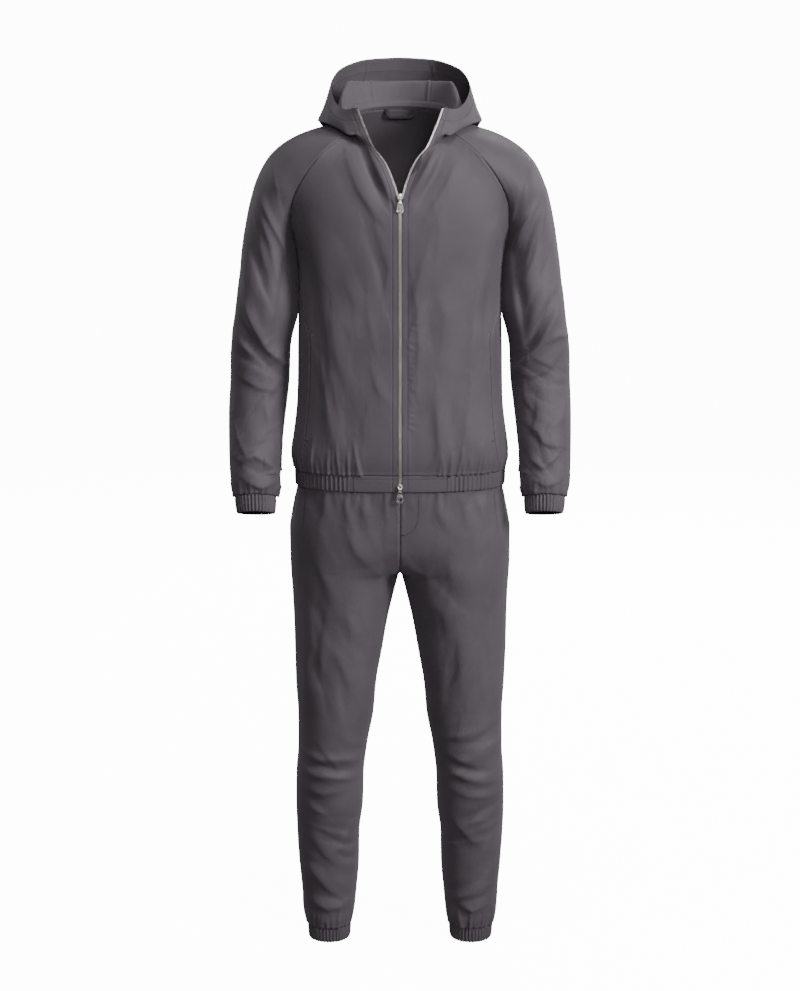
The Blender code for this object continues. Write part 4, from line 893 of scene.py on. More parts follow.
def crease_rise(p, n):
    """Height of the creases at points with outward directions n."""
    rise = np.zeros(p.shape[:-1])
    x = p[..., 0]
    z = p[..., 2]
    for face, half, high, *line in ALL_CREASES:
        points = np.array(line, float).reshape(-1, 2)
        reach = 3.2 * half
        near = (
            (x > points[:, 0].min() - reach) & (x < points[:, 0].max() + reach)
            & (z > points[:, 1].min() - reach) & (z < points[:, 1].max() + reach)
            & (face * n[..., 1] > 0)
        )
        if not near.any():
            continue
        steps = np.diff(points, axis=0)
        lengths = np.linalg.norm(steps, axis=1)
        total = lengths.sum()
        best = np.full(near.sum(), 1e9)
        across = np.zeros(near.sum())
        along = np.zeros(near.sum())
        before = 0.0
        q = np.stack([x[near], z[near]], axis=-1)
        for start, step, length in zip(points, steps, lengths):
            rel = q - start
            t = np.clip(rel @ step / length**2, 0, 1)
            off = rel - t[:, None] * step
            far = np.linalg.norm(off, axis=1)
            closer = far < best
            turn = np.sign(step[0] * rel[:, 1] - step[1] * rel[:, 0])
            best = np.where(closer, far, best)
            across = np.where(closer, far * turn, across)
            along = np.where(closer, before + t * length, along)
            before += length
        ends = np.sin(np.pi * np.clip(along / total * 0.86 + 0.07, 0, 1)) ** 0.7
        swell = 1 + 0.22 * np.sin(along / 17.0 + points[0, 0])
        sharp = np.where(across < 0, half * 0.5, half * 1.25)
        shape = np.exp(-((across / sharp) ** 2))
        beside = np.exp(-(((across + 1.7 * half) / half) ** 2))
        facing = np.clip(face * n[..., 1][near], 0, 1) ** 0.6
        rise[near] += FOLD_LIFT * high * ends * swell * (shape - 0.32 * beside) * facing
    return rise


ALL_CREASES = list(CREASES) + scattered() + puckers()


def gather_rise(p):
    """Height of the gathers that run away from the elastic pieces."""
    rise = np.zeros(p.shape[:-1])
    for number, row in enumerate(GATHERS):
        mid_x, mid_y, edge, reach, first, last, count, half, high = row
        way = np.sign(reach)
        away = (p[..., 2] - edge) * way
        near = (away > -2) & (away < abs(reach) * 1.3) & (np.abs(p[..., 0] - mid_x) < 240)
        if abs(mid_x) > 0:
            near &= np.abs(p[..., 0] - mid_x) < 70
        if not near.any():
            continue
        x = p[..., 0][near] - mid_x
        y = p[..., 1][near] - mid_y
        turn = np.degrees(np.arctan2(x, -y))
        radius = np.hypot(x, y)
        height = away[near]
        draw = np.random.default_rng(40 + number)
        places = first + (np.arange(count) + 0.5) * (last - first) / count
        places += draw.uniform(-0.35, 0.35, count) * (last - first) / count
        reaches = abs(reach) * draw.uniform(0.35, 1.15, count)
        sizes = high * draw.uniform(0.45, 1.2, count)
        leans = draw.uniform(-0.16, 0.16, count)
        wides = half * draw.uniform(0.8, 1.5, count)
        total = np.zeros(height.shape)
        for middle, far, size, lean, wide in zip(places, reaches, sizes, leans, wides):
            gap = (turn - middle + 180) % 360 - 180
            across = np.radians(gap) * radius + lean * height
            spread = wide * (1 + 0.6 * height / far)
            fade = np.clip(1 - height / far, 0, 1) ** 0.8
            total += size * np.exp(-((across / spread) ** 2)) * fade
        settle = np.clip(1 - height / abs(reach), 0, 1) * np.clip(height / 6, 0, 1)
        rise[near] += total - 0.35 * high * settle
    return rise


def drift(p):
    """Broad, shallow unevenness of hanging cloth."""
    x, y, z = p[..., 0], p[..., 1], p[..., 2]
    waves = (
        (0.42, 0.021, 0.008, 0.010, 0.3), (0.34, -0.013, 0.017, 0.019, 1.7),
        (0.26, 0.034, -0.012, 0.016, 4.1), (0.20, 0.009, 0.026, -0.037, 2.2),
        (0.12, 0.052, 0.020, 0.047, 5.0),
    )
    rise = 0 * x
    for size, a, b, c, start in waves:
        rise = rise + size * np.sin(a * x + b * y + c * z + start)
    return rise


def groove(distance, deep=1.6, half=1.3):
    """A seam's furrow, with the cloth swelling a little beside it."""
    cut = -deep * np.exp(-((distance / half) ** 2))
    return cut + 0.2 * deep * np.exp(-(((distance - 4.2) / 2.4) ** 2))


def stitched(distance, at, deep=0.55, half=1.1):
    """The shallow furrow that a row of stitches pulls into the cloth."""
    return -deep * np.exp(-(((distance - at) / half) ** 2))


def run_lengths(points, axis):
    """Distance of each grid point from the first and last line of its row or column."""
    step = np.linalg.norm(np.diff(points, axis=axis), axis=-1)
    start = np.cumsum(step, axis=axis)
    shape = list(start.shape)
    shape[axis] = 1
    start = np.concatenate([np.zeros(shape), start], axis=axis)
    end = start.take([-1], axis=axis)
    return start, end - start


def linked(name, data):
    made = bpy.data.objects.new(name, data)
    bpy.context.scene.collection.objects.link(made)
    return made


def made_mesh(name, points, faces, uv=None):
    mesh = bpy.data.meshes.new(name)
    mesh.from_pydata((np.asarray(points, float) * MM).tolist(), [], faces)
    mesh.update()
    mesh.polygons.foreach_set("use_smooth", np.ones(len(mesh.polygons), bool))
    if uv is not None:
        layer = mesh.uv_layers.new(name="cloth")
        corner = np.zeros(len(mesh.loops), int)
        mesh.loops.foreach_get("vertex_index", corner)
        layer.data.foreach_set("uv", (uv[corner] * MM).astype(np.float32).ravel())
    return linked(name, mesh)


def kept_lines(count, closed):
    """Every second line of a grid, and its end."""
    lines = list(range(0, count, 2))
    if closed or lines[-1] != count - 1:
        lines.append(count if closed else count - 1)
    return lines


def grid_faces(grid):
    a = grid[:-1, :-1].ravel()
    b = grid[:-1, 1:].ravel()
    c = grid[1:, 1:].ravel()
    d = grid[1:, :-1].ravel()
    return np.stack([a, b, c, d], 1)


def border(outer_line, inner_line, lines, turned):
    """Faces between a border of the fine grid and the same border of the coarse one."""
    faces = []
    for k in range(len(lines) - 1):
        run = outer_line[lines[k]:lines[k + 1] + 1].tolist()
        face = [int(inner_line[k]), int(inner_line[k + 1]), *run[::-1]]
        faces.append(face[::-1] if turned else face)
    return faces


def shell(name, outer, n, thick, closed=False, inward=1):
    """A thin shell: a fine outer grid of points and a coarser one behind it."""
    rows, columns = outer.shape[:2]
    across, _ = run_lengths(outer, 1)
    up, _ = run_lengths(outer, 0)
    uv = np.stack([across, up], axis=-1)
    down = kept_lines(rows, False)
    over = kept_lines(columns, closed)
    real = over[:-1] if closed else over
    inner = (outer - n * thick)[down][:, real]
    grid = np.arange(rows * columns).reshape(rows, columns)
    back_grid = rows * columns + np.arange(inner[..., 0].size).reshape(inner.shape[:2])
    if closed:
        grid = np.hstack([grid, grid[:, :1]])
        back_grid = np.hstack([back_grid, back_grid[:, :1]])
    faces = grid_faces(grid).tolist() + grid_faces(back_grid)[:, ::-1].tolist()
    faces += border(grid[0], back_grid[0], over, False)
    faces += border(grid[-1], back_grid[-1], over, True)
    if not closed:
        faces += border(grid[:, 0], back_grid[:, 0], down, True)
        faces += border(grid[:, -1], back_grid[:, -1], down, False)
    if inward < 0:
        faces = [face[::-1] for face in faces]
    points = np.concatenate([outer.reshape(-1, 3), inner.reshape(-1, 3)])
    places = np.concatenate([uv.reshape(-1, 2), uv[down][:, real].reshape(-1, 2)])
    return made_mesh(name, points, faces, places)


def mirror(points):
    return points * np.array([-1.0, 1.0, 1.0])


def on_side(side, *those):
    """Grids as they are for the wearer's left, and mirrored for the right."""
    return those if side > 0 else tuple(mirror(one) for one in those)


def eased(p, keep, rounds):
    """A grid with its sudden bends along the columns smoothed out, except near kept columns."""
    count = p.shape[1]
    place_at = np.arange(count) / (count - 1)
    weight = np.ones(count)
    for at in keep:
        weight = weight * np.clip(np.abs(place_at - at) / 0.22, 0, 1)
    weight = weight[None, :, None]
    q = p.copy()
    for _ in range(rounds):
        q[1:-1] = q[1:-1] + weight * ((q[:-2] + q[2:]) / 2 - q[1:-1]) / 2
    return q


def grid_normals(p, sign):
    """Unit outward directions worked out from the grid itself."""
    return unit(np.cross(np.gradient(p, axis=1), np.gradient(p, axis=0)) * sign)


def panel(
    name, surface, us, vs, sign, side, shared=(), seams="", creased=True, keep=(0, 1), rounds=130,
    middle=False, rows=(), shape=None,
):
    """One cloth piece. seams names its sewn edges: l and r for columns, b and t for rows.

    keep names the columns, as shares of the width, that stay where the surface has them.
    rows gives stitched lines: the edge's letter and the distance from it.
    """
    u, v = np.meshgrid(us, vs)
    p = eased(surface(u, v), keep, rounds)
    if middle:
        for _ in range(40):
            p[:, 1:-1] = (p[:, :-2] + 2 * p[:, 1:-1] + p[:, 2:]) / 4
    if shape is not None:
        p = shape(p, u)
    n = grid_normals(p, sign)
    for column, other in shared:
        both = n[:, column] + other(vs)
        size = np.linalg.norm(both, axis=-1, keepdims=True)
        n[:, column] = np.where(size > 0.7, both / np.maximum(size, 1e-9), n[:, column])
    p, n = on_side(side, p, n)
    rise = drift(p) * 0.8
    if creased:
        rise = rise + crease_rise(p, n) + gather_rise(p)
    left, right = run_lengths(p, 1)
    low, high = run_lengths(p, 0)
    for letter, distance in (("l", left), ("r", right), ("b", low), ("t", high)):
        if letter in seams:
            deep = 0.7 if letter in "bt" else 0.1 + 1.5 * np.clip(high / 14, 0, 1)
            rise = rise + groove(distance, deep)
        for edge, at in rows:
            if edge == letter:
                rise = rise + stitched(distance, at)
    push = n * rise[..., None]
    if "x" in seams:
        # The two legs meet on the mid plane, so this edge stays on it
        push[..., 0] = push[..., 0] * (1 - np.exp(-((left / 8) ** 2)))
    outer = p + push
    return shell(name, outer, n, SHELL, False, sign * side), outer, n


def place(piece, body, cad, slot, material, flat=None, held="hung", area=None):
    """Gives a piece its material, hangs it on its body and hides the solids that it stands for."""
    piece.data.materials.clear()
    piece.data.materials.append(material)
    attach(piece, body)
    if cad:
        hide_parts(*cad)
    return piece


def blank_material(name):
    made = bpy.data.materials.new(name)
    made.use_nodes = True
    return made, made.node_tree, made.node_tree.nodes["Principled BSDF"]


def node(tree, kind, **values):
    """A new node, with each value given to its input or setting of that name."""
    made = tree.nodes.new(kind)
    for key, value in values.items():
        if key in made.inputs:
            made.inputs[key].default_value = value
        else:
            setattr(made, key, value)
    return made


def ramp(tree, source, stops):
    made = tree.nodes.new("ShaderNodeValToRGB")
    for element, (at, colour) in zip(made.color_ramp.elements, stops):
        element.position = at
        element.color = (*colour, 1)
    tree.links.new(source, made.inputs["Fac"])
    return made


def even_ramp(tree, source, first, last):
    """A ramp of one number, from a low stop to a high one."""
    return ramp(tree, source, ((first[0], (first[1],) * 3), (last[0], (last[1],) * 3)))


def noise(tree, at, scale, detail, roughness):
    made = node(tree, "ShaderNodeTexNoise", Scale=scale, Detail=detail, Roughness=roughness)
    tree.links.new(at, made.inputs["Vector"])
    return made.outputs["Fac"]


def cloth_material(name, dark, light, weave=210.0, strength=0.22, rough=0.66, sheen=0.12):
    """Fine woven cloth: a twill weave, flecks of lighter yarn and broad tonal drift."""
    made, tree, shader = blank_material(name)
    link = tree.links.new
    on_cut = node(tree, "ShaderNodeUVMap", uv_map="cloth").outputs["UV"]
    in_room = tree.nodes.new("ShaderNodeTexCoord").outputs["Object"]
    cloud = noise(tree, in_room, 9.0, 3.0, 0.55)
    fleck = noise(tree, on_cut, 900.0, 2.0, 0.6)
    mix = node(tree, "ShaderNodeMath", operation="MULTIPLY_ADD")
    mix.inputs[1].default_value = 0.45
    link(fleck, mix.inputs[0])
    half = node(tree, "ShaderNodeMath", operation="MULTIPLY")
    half.inputs[1].default_value = 0.55
    link(cloud, half.inputs[0])
    link(half.outputs[0], mix.inputs[2])
    colour = ramp(tree, mix.outputs[0], ((0.36, dark), (0.66, light)))
    link(colour.outputs["Color"], shader.inputs["Base Color"])
    twill = node(
        tree, "ShaderNodeTexWave", wave_type="BANDS", bands_direction="DIAGONAL",
        Scale=weave, Distortion=0.6, Detail=1.0,
    )
    link(on_cut, twill.inputs["Vector"])
    grain = noise(tree, on_cut, 1600.0, 2.0, 0.6)
    height = node(tree, "ShaderNodeMath", operation="ADD")
    link(twill.outputs["Fac"], height.inputs[0])
    link(grain, height.inputs[1])
    fine = node(tree, "ShaderNodeBump", Strength=strength, Distance=0.0002)
    link(height.outputs[0], fine.inputs["Height"])
    soft = noise(tree, in_room, 55.0, 4.0, 0.6)
    rumple = node(tree, "ShaderNodeBump", Strength=0.16, Distance=0.0022)
    link(soft, rumple.inputs["Height"])
    link(fine.outputs["Normal"], rumple.inputs["Normal"])
    link(rumple.outputs["Normal"], shader.inputs["Normal"])
    shine = even_ramp(tree, cloud, (0.3, rough - 0.05), (0.7, rough + 0.07))
    link(shine.outputs["Color"], shader.inputs["Roughness"])
    shader.inputs["Sheen Weight"].default_value = sheen
    shader.inputs["Sheen Roughness"].default_value = 0.45
    shader.inputs["Sheen Tint"].default_value = (0.86, 0.82, 0.88, 1)
    shader.inputs["Specular IOR Level"].default_value = 0.26
    return made


def metal_material(name, dark, light, rough, metallic):
    """Satin nickel with fine scuffs."""
    made, tree, shader = blank_material(name)
    link = tree.links.new
    at = tree.nodes.new("ShaderNodeTexCoord").outputs["Object"]
    scuff = noise(tree, at, 620.0, 4.0, 0.65)
    colour = ramp(tree, scuff, ((0.3, dark), (0.7, light)))
    link(colour.outputs["Color"], shader.inputs["Base Color"])
    worn = even_ramp(tree, scuff, (0.3, rough - 0.08), (0.75, rough + 0.12))
    link(worn.outputs["Color"], shader.inputs["Roughness"])
    bump = node(tree, "ShaderNodeBump", Strength=0.12, Distance=0.0001)
    link(scuff, bump.inputs["Height"])
    link(bump.outputs["Normal"], shader.inputs["Normal"])
    shader.inputs["Metallic"].default_value = metallic
    return made


CLOTH_MAT = cloth_material("cloth_weave", (0.061, 0.0525, 0.0615), (0.084, 0.0725, 0.085))
BAND_MAT = cloth_material("band_weave", (0.058, 0.050, 0.0585), (0.080, 0.069, 0.081))
TAPE_MAT = cloth_material(
    "tape_weave", (0.020, 0.018, 0.020), (0.034, 0.030, 0.034), 300.0, 0.4, 0.7, 0.1
)
# The stitches' thread is darker than the cloth: partly the thread's own colour, and partly painted
# shade that stands in for the shadow along the seam furrows and stitched rows.
DARK_THREAD_SEAM_SHADE_MAT = cloth_material(
    "thread_with_painted_seam_shade", (0.010, 0.009, 0.010), (0.020, 0.018, 0.020), 400.0, 0.5, 0.8, 0.0
)
METAL_MAT = metal_material("nickel_satin", (0.44, 0.425, 0.40), (0.70, 0.68, 0.65), 0.26, 1.0)
CHAIN_MAT = metal_material("nickel_teeth", (0.42, 0.405, 0.385), (0.64, 0.62, 0.59), 0.42, 0.8)


# Distances of the stitched rows from the edge they follow
ZIP_SEWN = 9.5
SEAM_SEWN = 2.6
CENTRE_SEWN = 3.0
CENTRE_SEWN_TWICE = 8.0
NECK_SEWN = 2.4
BAND_SEWN = 5.5
RIM_SEWN = 24.0

# Runs of stitches so far: middles, directions along, outward directions and length
STITCHES = []


def inset(outer, n, edge, distance):
    """A line across a grid of points, at a distance from one of its edges."""
    if edge in "bt":
        outer = outer.transpose(1, 0, 2)
        n = n.transpose(1, 0, 2)
    if edge in "rt":
        outer = outer[:, ::-1]
        n = n[:, ::-1]
    far, _ = run_lengths(outer, 1)
    points = [between(reach, row, distance) for row, reach in zip(outer, far)]
    outs = [between(reach, row, distance) for row, reach in zip(n, far)]
    return np.array(points), np.array(outs)


def sew(line, pitch=3.2, length=2.3, lift=0.05):
    """Adds a run of stitches along a line of points and outward directions."""
    points, outs = line
    far = distances(points)
    count = int(far[-1] / pitch)
    if count < 1:
        return
    at = (np.arange(count) + 0.5) * far[-1] / count
    middle = between(far, points, at)
    ahead = between(far, points, np.minimum(at + length / 2, far[-1]))
    behind = between(far, points, np.maximum(at - length / 2, 0))
    n = unit(between(far, outs, at))
    STITCHES.append((middle + n * lift, unit(ahead - behind), n, length))


def sew_rows(outer, n, rows):
    """Stitches along several edges of a piece: each edge's letter and the distance from it."""
    for edge, distance in rows:
        sew(inset(outer, n, edge, distance))


def stitch_mesh(name, radius=0.34):
    """All the stitches so far as one mesh of small pointed threads, each of ten points."""
    points = []
    for middle, t, n, length in STITCHES:
        s = np.cross(n, t)
        rings = [middle - t * length / 2 - n * 0.2]
        for way in (-1, 1):
            at = middle + t * way * length / 4
            for a, b in ((1, 0), (0, 1), (-1, 0), (0, -1)):
                rings.append(at + s * a * radius + n * b * radius)
        rings.append(middle + t * length / 2 - n * 0.2)
        points.append(np.stack(rings, axis=1).reshape(-1, 3))
    points = np.concatenate(points)
    faces = []
    for first in range(0, len(points), 10):
        for a, b in ((1, 2), (2, 3), (3, 4), (4, 1)):
            faces.append((first + b, first + a, first))
            faces.append((first + a, first + b, first + b + 4, first + a + 4))
            faces.append((first + a + 4, first + b + 4, first + 9))
    return made_mesh(name, points, faces)


def make_body():
    us = rows_between((0, 0.09, 22), (0.09, 0.2, 9), (0.2, 0.96, 74), (0.96, 1, 7))
    vs = rows_between((0.0, 0.08, 30), (0.08, SPLIT, 112), (SPLIT, 1.0, 84))
    shared = [(-1, seam_normals(sleeve_front, 0, 1, SPLIT, SLEEVE_SPLIT))]
    for side, name in SIDES:
        made, outer, n = panel(
            f"cloth_front_{name}", front, us, vs, 1, side, shared, "rb", rows=[("l", ZIP_SEWN)]
        )
        place(made, ROOT, [f"front_{name}"], "cloth", CLOTH_MAT, *CUTS["front"])
        sew_rows(outer, n, (("l", ZIP_SEWN), ("b", SEAM_SEWN)))
    us = rows_between((0, 0.02, 6), (0.02, 0.98, 138), (0.98, 1, 6))
    vs = rows_between((0.0, 0.08, 28), (0.08, SPLIT, 100), (SPLIT, 1.0, 72))
    at = seam_normals(sleeve_back, 0, -1, SPLIT, SLEEVE_SPLIT)
    shared = [(0, at), (-1, mirrored_normals(at))]
    made, outer, n = panel("cloth_back", back, us, vs, 1, 1, shared, "lrb")
    place(made, ROOT, ["back"], "cloth", CLOTH_MAT, *CUTS["back"])
    sew_rows(outer, n, (("b", SEAM_SEWN), ("t", SEAM_SEWN)))


def hug(p, u):
    """The sleeve's inner side laid against the jacket, from the armpit down to the elbow."""
    z = p[..., 2]
    level = np.clip((z + 385) / 40, 0, 1) * np.clip((-225 - z) / 40, 0, 1)
    q = p.copy()
    q[..., 0] -= 4.5 * level * np.clip(1 - u / 0.3, 0, 1) ** 1.5 * (p[..., 1] < 60)
    return q


def make_sleeves():
    us = rows_between((0, 0.05, 6), (0.05, 0.95, 58), (0.95, 1, 6))
    vs = rows_between((0.0, 0.08, 28), (0.08, SLEEVE_SPLIT, 166), (SLEEVE_SPLIT, 1.0, 84))
    # Each half, the body panel at its seam with that panel's edge, and the other half
    parts = (
        ("front", sleeve_front, 1, front, 1, sleeve_back),
        ("back", sleeve_back, -1, half_back, 0, sleeve_front),
    )
    for side, name in SIDES:
        for way, surface, sign, body, edge, other in parts:
            shared = [
                (0, seam_normals(body, edge, 1, SLEEVE_SPLIT, SPLIT)),
                (-1, edge_normals(other, 1, -sign)),
            ]
            key = f"sleeve_{way}"
            made, _, _ = panel(
                f"cloth_{key}_{name}", surface, us, vs, sign, side, shared, "lb",
                keep=(0,), shape=hug,
            )
            place(made, ROOT, [f"{key}_{name}"], "cloth", CLOTH_MAT, *CUTS[key])


def hood_middle(u, v):
    u, v = grids(u, v)
    return both_halves(hood(HOOD_PANEL + (1 - HOOD_PANEL) * (1 - np.abs(2 * u - 1)), v), u)


def lapped(p, u):
    """The hood's lower edge laps the neck seam, so that no light shows through it."""
    low, _ = run_lengths(p, 0)
    p = p.copy()
    p[..., 2] -= 2.0 * np.exp(-((low / 5) ** 2))
    return p


def make_hood():
    vs = rows_between((0.0, 0.13, 24), (0.13, 0.56, 48), (0.56, 0.9, 30), (0.9, 1.0, 32))
    us = HOOD_PANEL * rows_between((0, 0.06, 18), (0.06, 0.95, 96), (0.95, 1, 20))
    rim = ("t", RIM_SEWN)
    pair = [("r", CENTRE_SEWN), ("r", CENTRE_SEWN_TWICE)]
    for side, name in SIDES:
        made, outer, n = panel(
            f"cloth_hood_{name}", hood, us, vs, 1, side, (), "r", creased=False, rounds=0,
            rows=[("l", ZIP_SEWN), *pair, rim], shape=lapped,
        )
        place(made, ROOT, [f"hood_{name}"], "cloth", CLOTH_MAT, *CUTS["hood_side"])
        sew_rows(outer, n, (*pair, rim, ("b", NECK_SEWN), ("l", ZIP_SEWN)))
        sew_rows(outer - n * SHELL, -n, (rim,))
    us = rows_between((0, 0.12, 14), (0.12, 0.88, 32), (0.88, 1, 14))
    made, outer, n = panel(
        "cloth_hood_centre", hood_middle, us, vs, 1, 1, (), "lr", creased=False, rounds=0,
        middle=True, rows=[("l", CENTRE_SEWN), ("r", CENTRE_SEWN), rim], shape=lapped,
    )
    place(made, ROOT, ["hood_centre"], "cloth", CLOTH_MAT, *CUTS["hood_centre"])
    sew_rows(outer, n, (rim,))
    sew_rows(outer - n * SHELL, -n, (rim,))
    sew_rows(outer, n, (("b", NECK_SEWN),))


def gathered_wave(turns, v, seed):
    """Uneven gathers: turns counts the gathers round the band."""
    draw = np.random.default_rng(seed)
    count = int(round(turns.max())) + 2
    sizes = draw.uniform(0.55, 1.0, count)
    leans = draw.uniform(-0.22, 0.22, count)
    which = np.clip(np.floor(turns + 0.5).astype(int), 0, count - 1)
    phase = turns + leans[which] * (v - 0.5) * 0.5
    wave = 1 - 2 * np.abs(np.sin(math.pi * phase)) ** 1.4
    return RIB_DEEP * sizes[which] * wave


def band_profile(v):
    """The rounded section of a band, drawn in at its two edges."""
    return -1.1 * np.abs(2 * v - 1) ** 3.0


def make_band(name, surface, count, side, seed, cad, cut, sides=10):
    """A closed gathered band on a cuff or ankle."""
    us = np.arange(count * sides) / (count * sides)
    vs = np.linspace(0, 1, 15)
    u, v = np.meshgrid(us, vs)
    p = surface(u, v)
    n = normals(surface, u, v, 1)
    rise = gathered_wave(u * count, v, seed) - 0.8 + band_profile(v)
    outer, n = on_side(side, p + n * rise[..., None], n)
    made = shell(name, outer, n, BAND_SHELL, True, side)
    place(made, ROOT, [cad], "gathered_band", BAND_MAT, *CUTS[cut])
    return outer, n


def make_bands():
    for side, name in SIDES:
        make_band(
            f"band_cuff_{name}", cuff, CUFF_RIBS, side, 11 + side, f"cuff_{name}", "cuff"
        )
        make_band(
            f"band_ankle_{name}", ankle, ANKLE_RIBS, side, 21 + side, f"ankle_{name}",
            "ankle",
        )
    vs = np.linspace(0, 1, 17)
    for side, name in SIDES:
        us = FLAT_SHARE * rows_between((0, 0.2, 18), (0.2, 0.9, 30), (0.9, 1, 8))
        u, v = np.meshgrid(us, vs)
        p = hem_ring(u, v)
        n = normals(hem_ring, u, v, 1)
        left, right = run_lengths(p, 1)
        rise = 0.4 * band_profile(v) + groove(right, 0.7, 1.3) + stitched(left, ZIP_SEWN)
        rise = rise + stitched(31 * (1 - v), BAND_SEWN, 0.4)
        outer, n = on_side(side, p + n * rise[..., None], n)
        made = shell(f"band_hem_front_{name}", outer, n, BAND_SHELL, False, side)
        place(
            made, ROOT, [f"hem_front_{name}"], "gathered_band", BAND_MAT, *CUTS["hem_front"]
        )
        sew_rows(outer, n, (("r", SEAM_SEWN), ("l", ZIP_SEWN), ("t", BAND_SEWN)))

    def round_back(u, v):
        u, v = grids(u, v)
        from_zip = FLAT_SHARE + (1 - FLAT_SHARE) * (1 - np.abs(2 * u - 1))
        return both_halves(hem_ring(from_zip, v), u)

    us = np.linspace(0, 1, HEM_RIBS * 8 + 1)
    vs = np.linspace(0, 1, 13)
    u, v = np.meshgrid(us, vs)
    p = round_back(u, v)
    n = normals(round_back, u, v, 1)
    ends = np.clip(np.minimum(u, 1 - u) * 40, 0, 1)
    rise = (gathered_wave(u * HEM_RIBS, v, 31) - 0.7) * ends + 0.6 * band_profile(v)
    outer = p + n * rise[..., None]
    made = shell("band_hem_back", outer, n, BAND_SHELL, False, 1)
    place(made, ROOT, ["hem_back"], "gathered_band", BAND_MAT, *CUTS["hem_back"])
    us = np.arange(400) / 400
    u, v = np.meshgrid(us, np.linspace(0, 1, 15))
    p = waist(u, v)
    n = np.broadcast_to(ring_outward(us)[None], p.shape)
    rise = 0.6 * (gathered_wave(u * 50, v, 35) - 1.1) + band_profile(v)
    made = shell("band_waist", p + n * rise[..., None], n, BAND_SHELL, True, 1)
    place(made, ROOT, ["waistband"], "gathered_band", BAND_MAT, *CUTS["waist"])


def make_trousers():
    us = np.linspace(0, 1, 76)
    vs = rows_between(
        (0.0, 0.04, 22), (0.04, LEG_KNOT[1], 178), (LEG_KNOT[1], LEG_KNOT[2], 38),
        (LEG_KNOT[2], 0.938, 42), (0.938, 1.0, 10),
    )
    for side, name in SIDES:
        for way, surface, sign in (("front", leg_front, 1), ("back", leg_back, -1)):
            made, outer, n = panel(
                f"cloth_leg_{way}_{name}", surface, us, vs, sign, side, (), "lrbx", rounds=34
            )
            if way == "front":
                make_fly(outer, n, side)
            place(
                made, ROOT, [f"leg_{way}_{name}"], "cloth", CLOTH_MAT, *CUTS[f"leg_{way}"]
            )


def make_pockets():
    low = SPLIT * (POCKET_LOW - HEM_TOP) / (UNDERARM - HEM_TOP)
    high = SPLIT * (POCKET_HIGH - HEM_TOP) / (UNDERARM - HEM_TOP)
    us = np.linspace(0.905, 0.994, 14)
    vs = np.linspace(low, high, 90)
    u, v = np.meshgrid(us, vs)
    for side, name in SIDES:
        p, n = on_side(side, front(u, v), normals(front, u, v, 1))
        left, right = run_lengths(p, 1)
        rise = drift(p) * 0.8 + crease_rise(p, n) + gather_rise(p)
        rise = rise + 0.35 - 1.2 * np.exp(-((left / 2.2) ** 2)) - 0.25 * np.exp(-((right / 1.4) ** 2))
        outer = p + n * rise[..., None]
        made = shell(f"welt_strip_{name}", outer, n, 1.2, False, side)
        place(made, ROOT, [f"welt_{name}"], "cloth", CLOTH_MAT, *CUTS["welt"])
        # This row of dark stitches on the welt's outer edge also draws the thin dark line of the
        # pocket opening: painted shade in place of its shadow.
        sew(inset(outer, n, "r", 0.8), 2.3, 2.3, 0.15)
        for row in (0, -1):
            for shift in (-0.8, 0.0, 0.8):
                bar = outer[row, :6] + np.array([0.0, -0.1, shift])
                sew((bar, n[row, :6]), 2.2, 2.2, 0.25)


def on_cloth(outer, n, line):
    """Points and outward directions on a piece's grid, at places given by x and z."""
    flat = outer.reshape(-1, 3)
    outs = n.reshape(-1, 3)
    points = []
    ways = []
    for x, z in line:
        far = (flat[:, 0] - x) ** 2 + (flat[:, 2] - z) ** 2
        near = np.argsort(far)[:4]
        weight = 1 / (far[near] + 0.05)
        weight = weight / weight.sum()
        at = weight @ flat[near]
        points.append([x, at[1], z])
        ways.append(weight @ outs[near])
    return np.array(points), np.array(ways)


def dotted(points, count):
    """Evenly spaced places along a line of x and z points."""
    points = np.array(points, float)
    far = distances(points)
    return between(far, points, np.linspace(0, far[-1], count))


def zip_path():
    """Points down the middle of the closed zip, from the hem to the top slider."""
    rows = zip_line(hem_ring, 12, 0.0, 1.0) + zip_line(front, 60, 0.002, SPLIT)
    rows = rows + zip_line(front, 30, SPLIT + 0.01, SPLIT + (1 - SPLIT) * 0.5)
    points = np.array([f[0] for f in edge_frames(rows)])
    points[:, 0] = 0.0
    return points


# The teeth, closed and open: the step between them, and a tooth's length, height and depth
CLOSED_STEP = 1.5
CLOSED_TOOTH = (4.8, 1.2, 2.9)
OPEN_STEP = 2.2
OPEN_TOOTH = (4.0, 1.5, 2.9)


def tooth(middle, along, across, out, long, high, deep):
    """A rounded metal tooth: eight points in front and eight behind, as points and faces."""
    points = []
    for push, size in ((0.0, 0.8), (-0.3, 1.0), (-deep, 1.0)):
        for k in range(8):
            a = math.pi / 4 * (k + 0.5)
            x = math.copysign(abs(math.cos(a)) ** 0.5, math.cos(a)) * long / 2
            z = math.copysign(abs(math.sin(a)) ** 0.5, math.sin(a)) * high / 2
            points.append(middle + across * x * size + along * z * size + out * push)
    faces = [tuple(range(8)), tuple(range(23, 15, -1))]
    for ring_start in (0, 8):
        for k in range(8):
            j = (k + 1) % 8
            faces.append((ring_start + j, ring_start + k, ring_start + 8 + k, ring_start + 8 + j))
    return points, faces


def many(name, shapes, material, cad, body=ROOT):
    """Several closed shapes as one mesh."""
    points = []
    faces = []
    for one, its in shapes:
        start = len(points)
        points.extend(one)
        faces.extend(tuple(start + k for k in f) for f in its)
    made = made_mesh(name, points, faces)
    bm = bmesh.new()
    bm.from_mesh(made.data)
    bmesh.ops.recalc_face_normals(bm, faces=bm.faces[:])
    bm.to_mesh(made.data)
    bm.free()
    made.data.set_sharp_from_angle(angle=math.radians(40.0))
    return place(made, body, cad, "zip_metal", material)


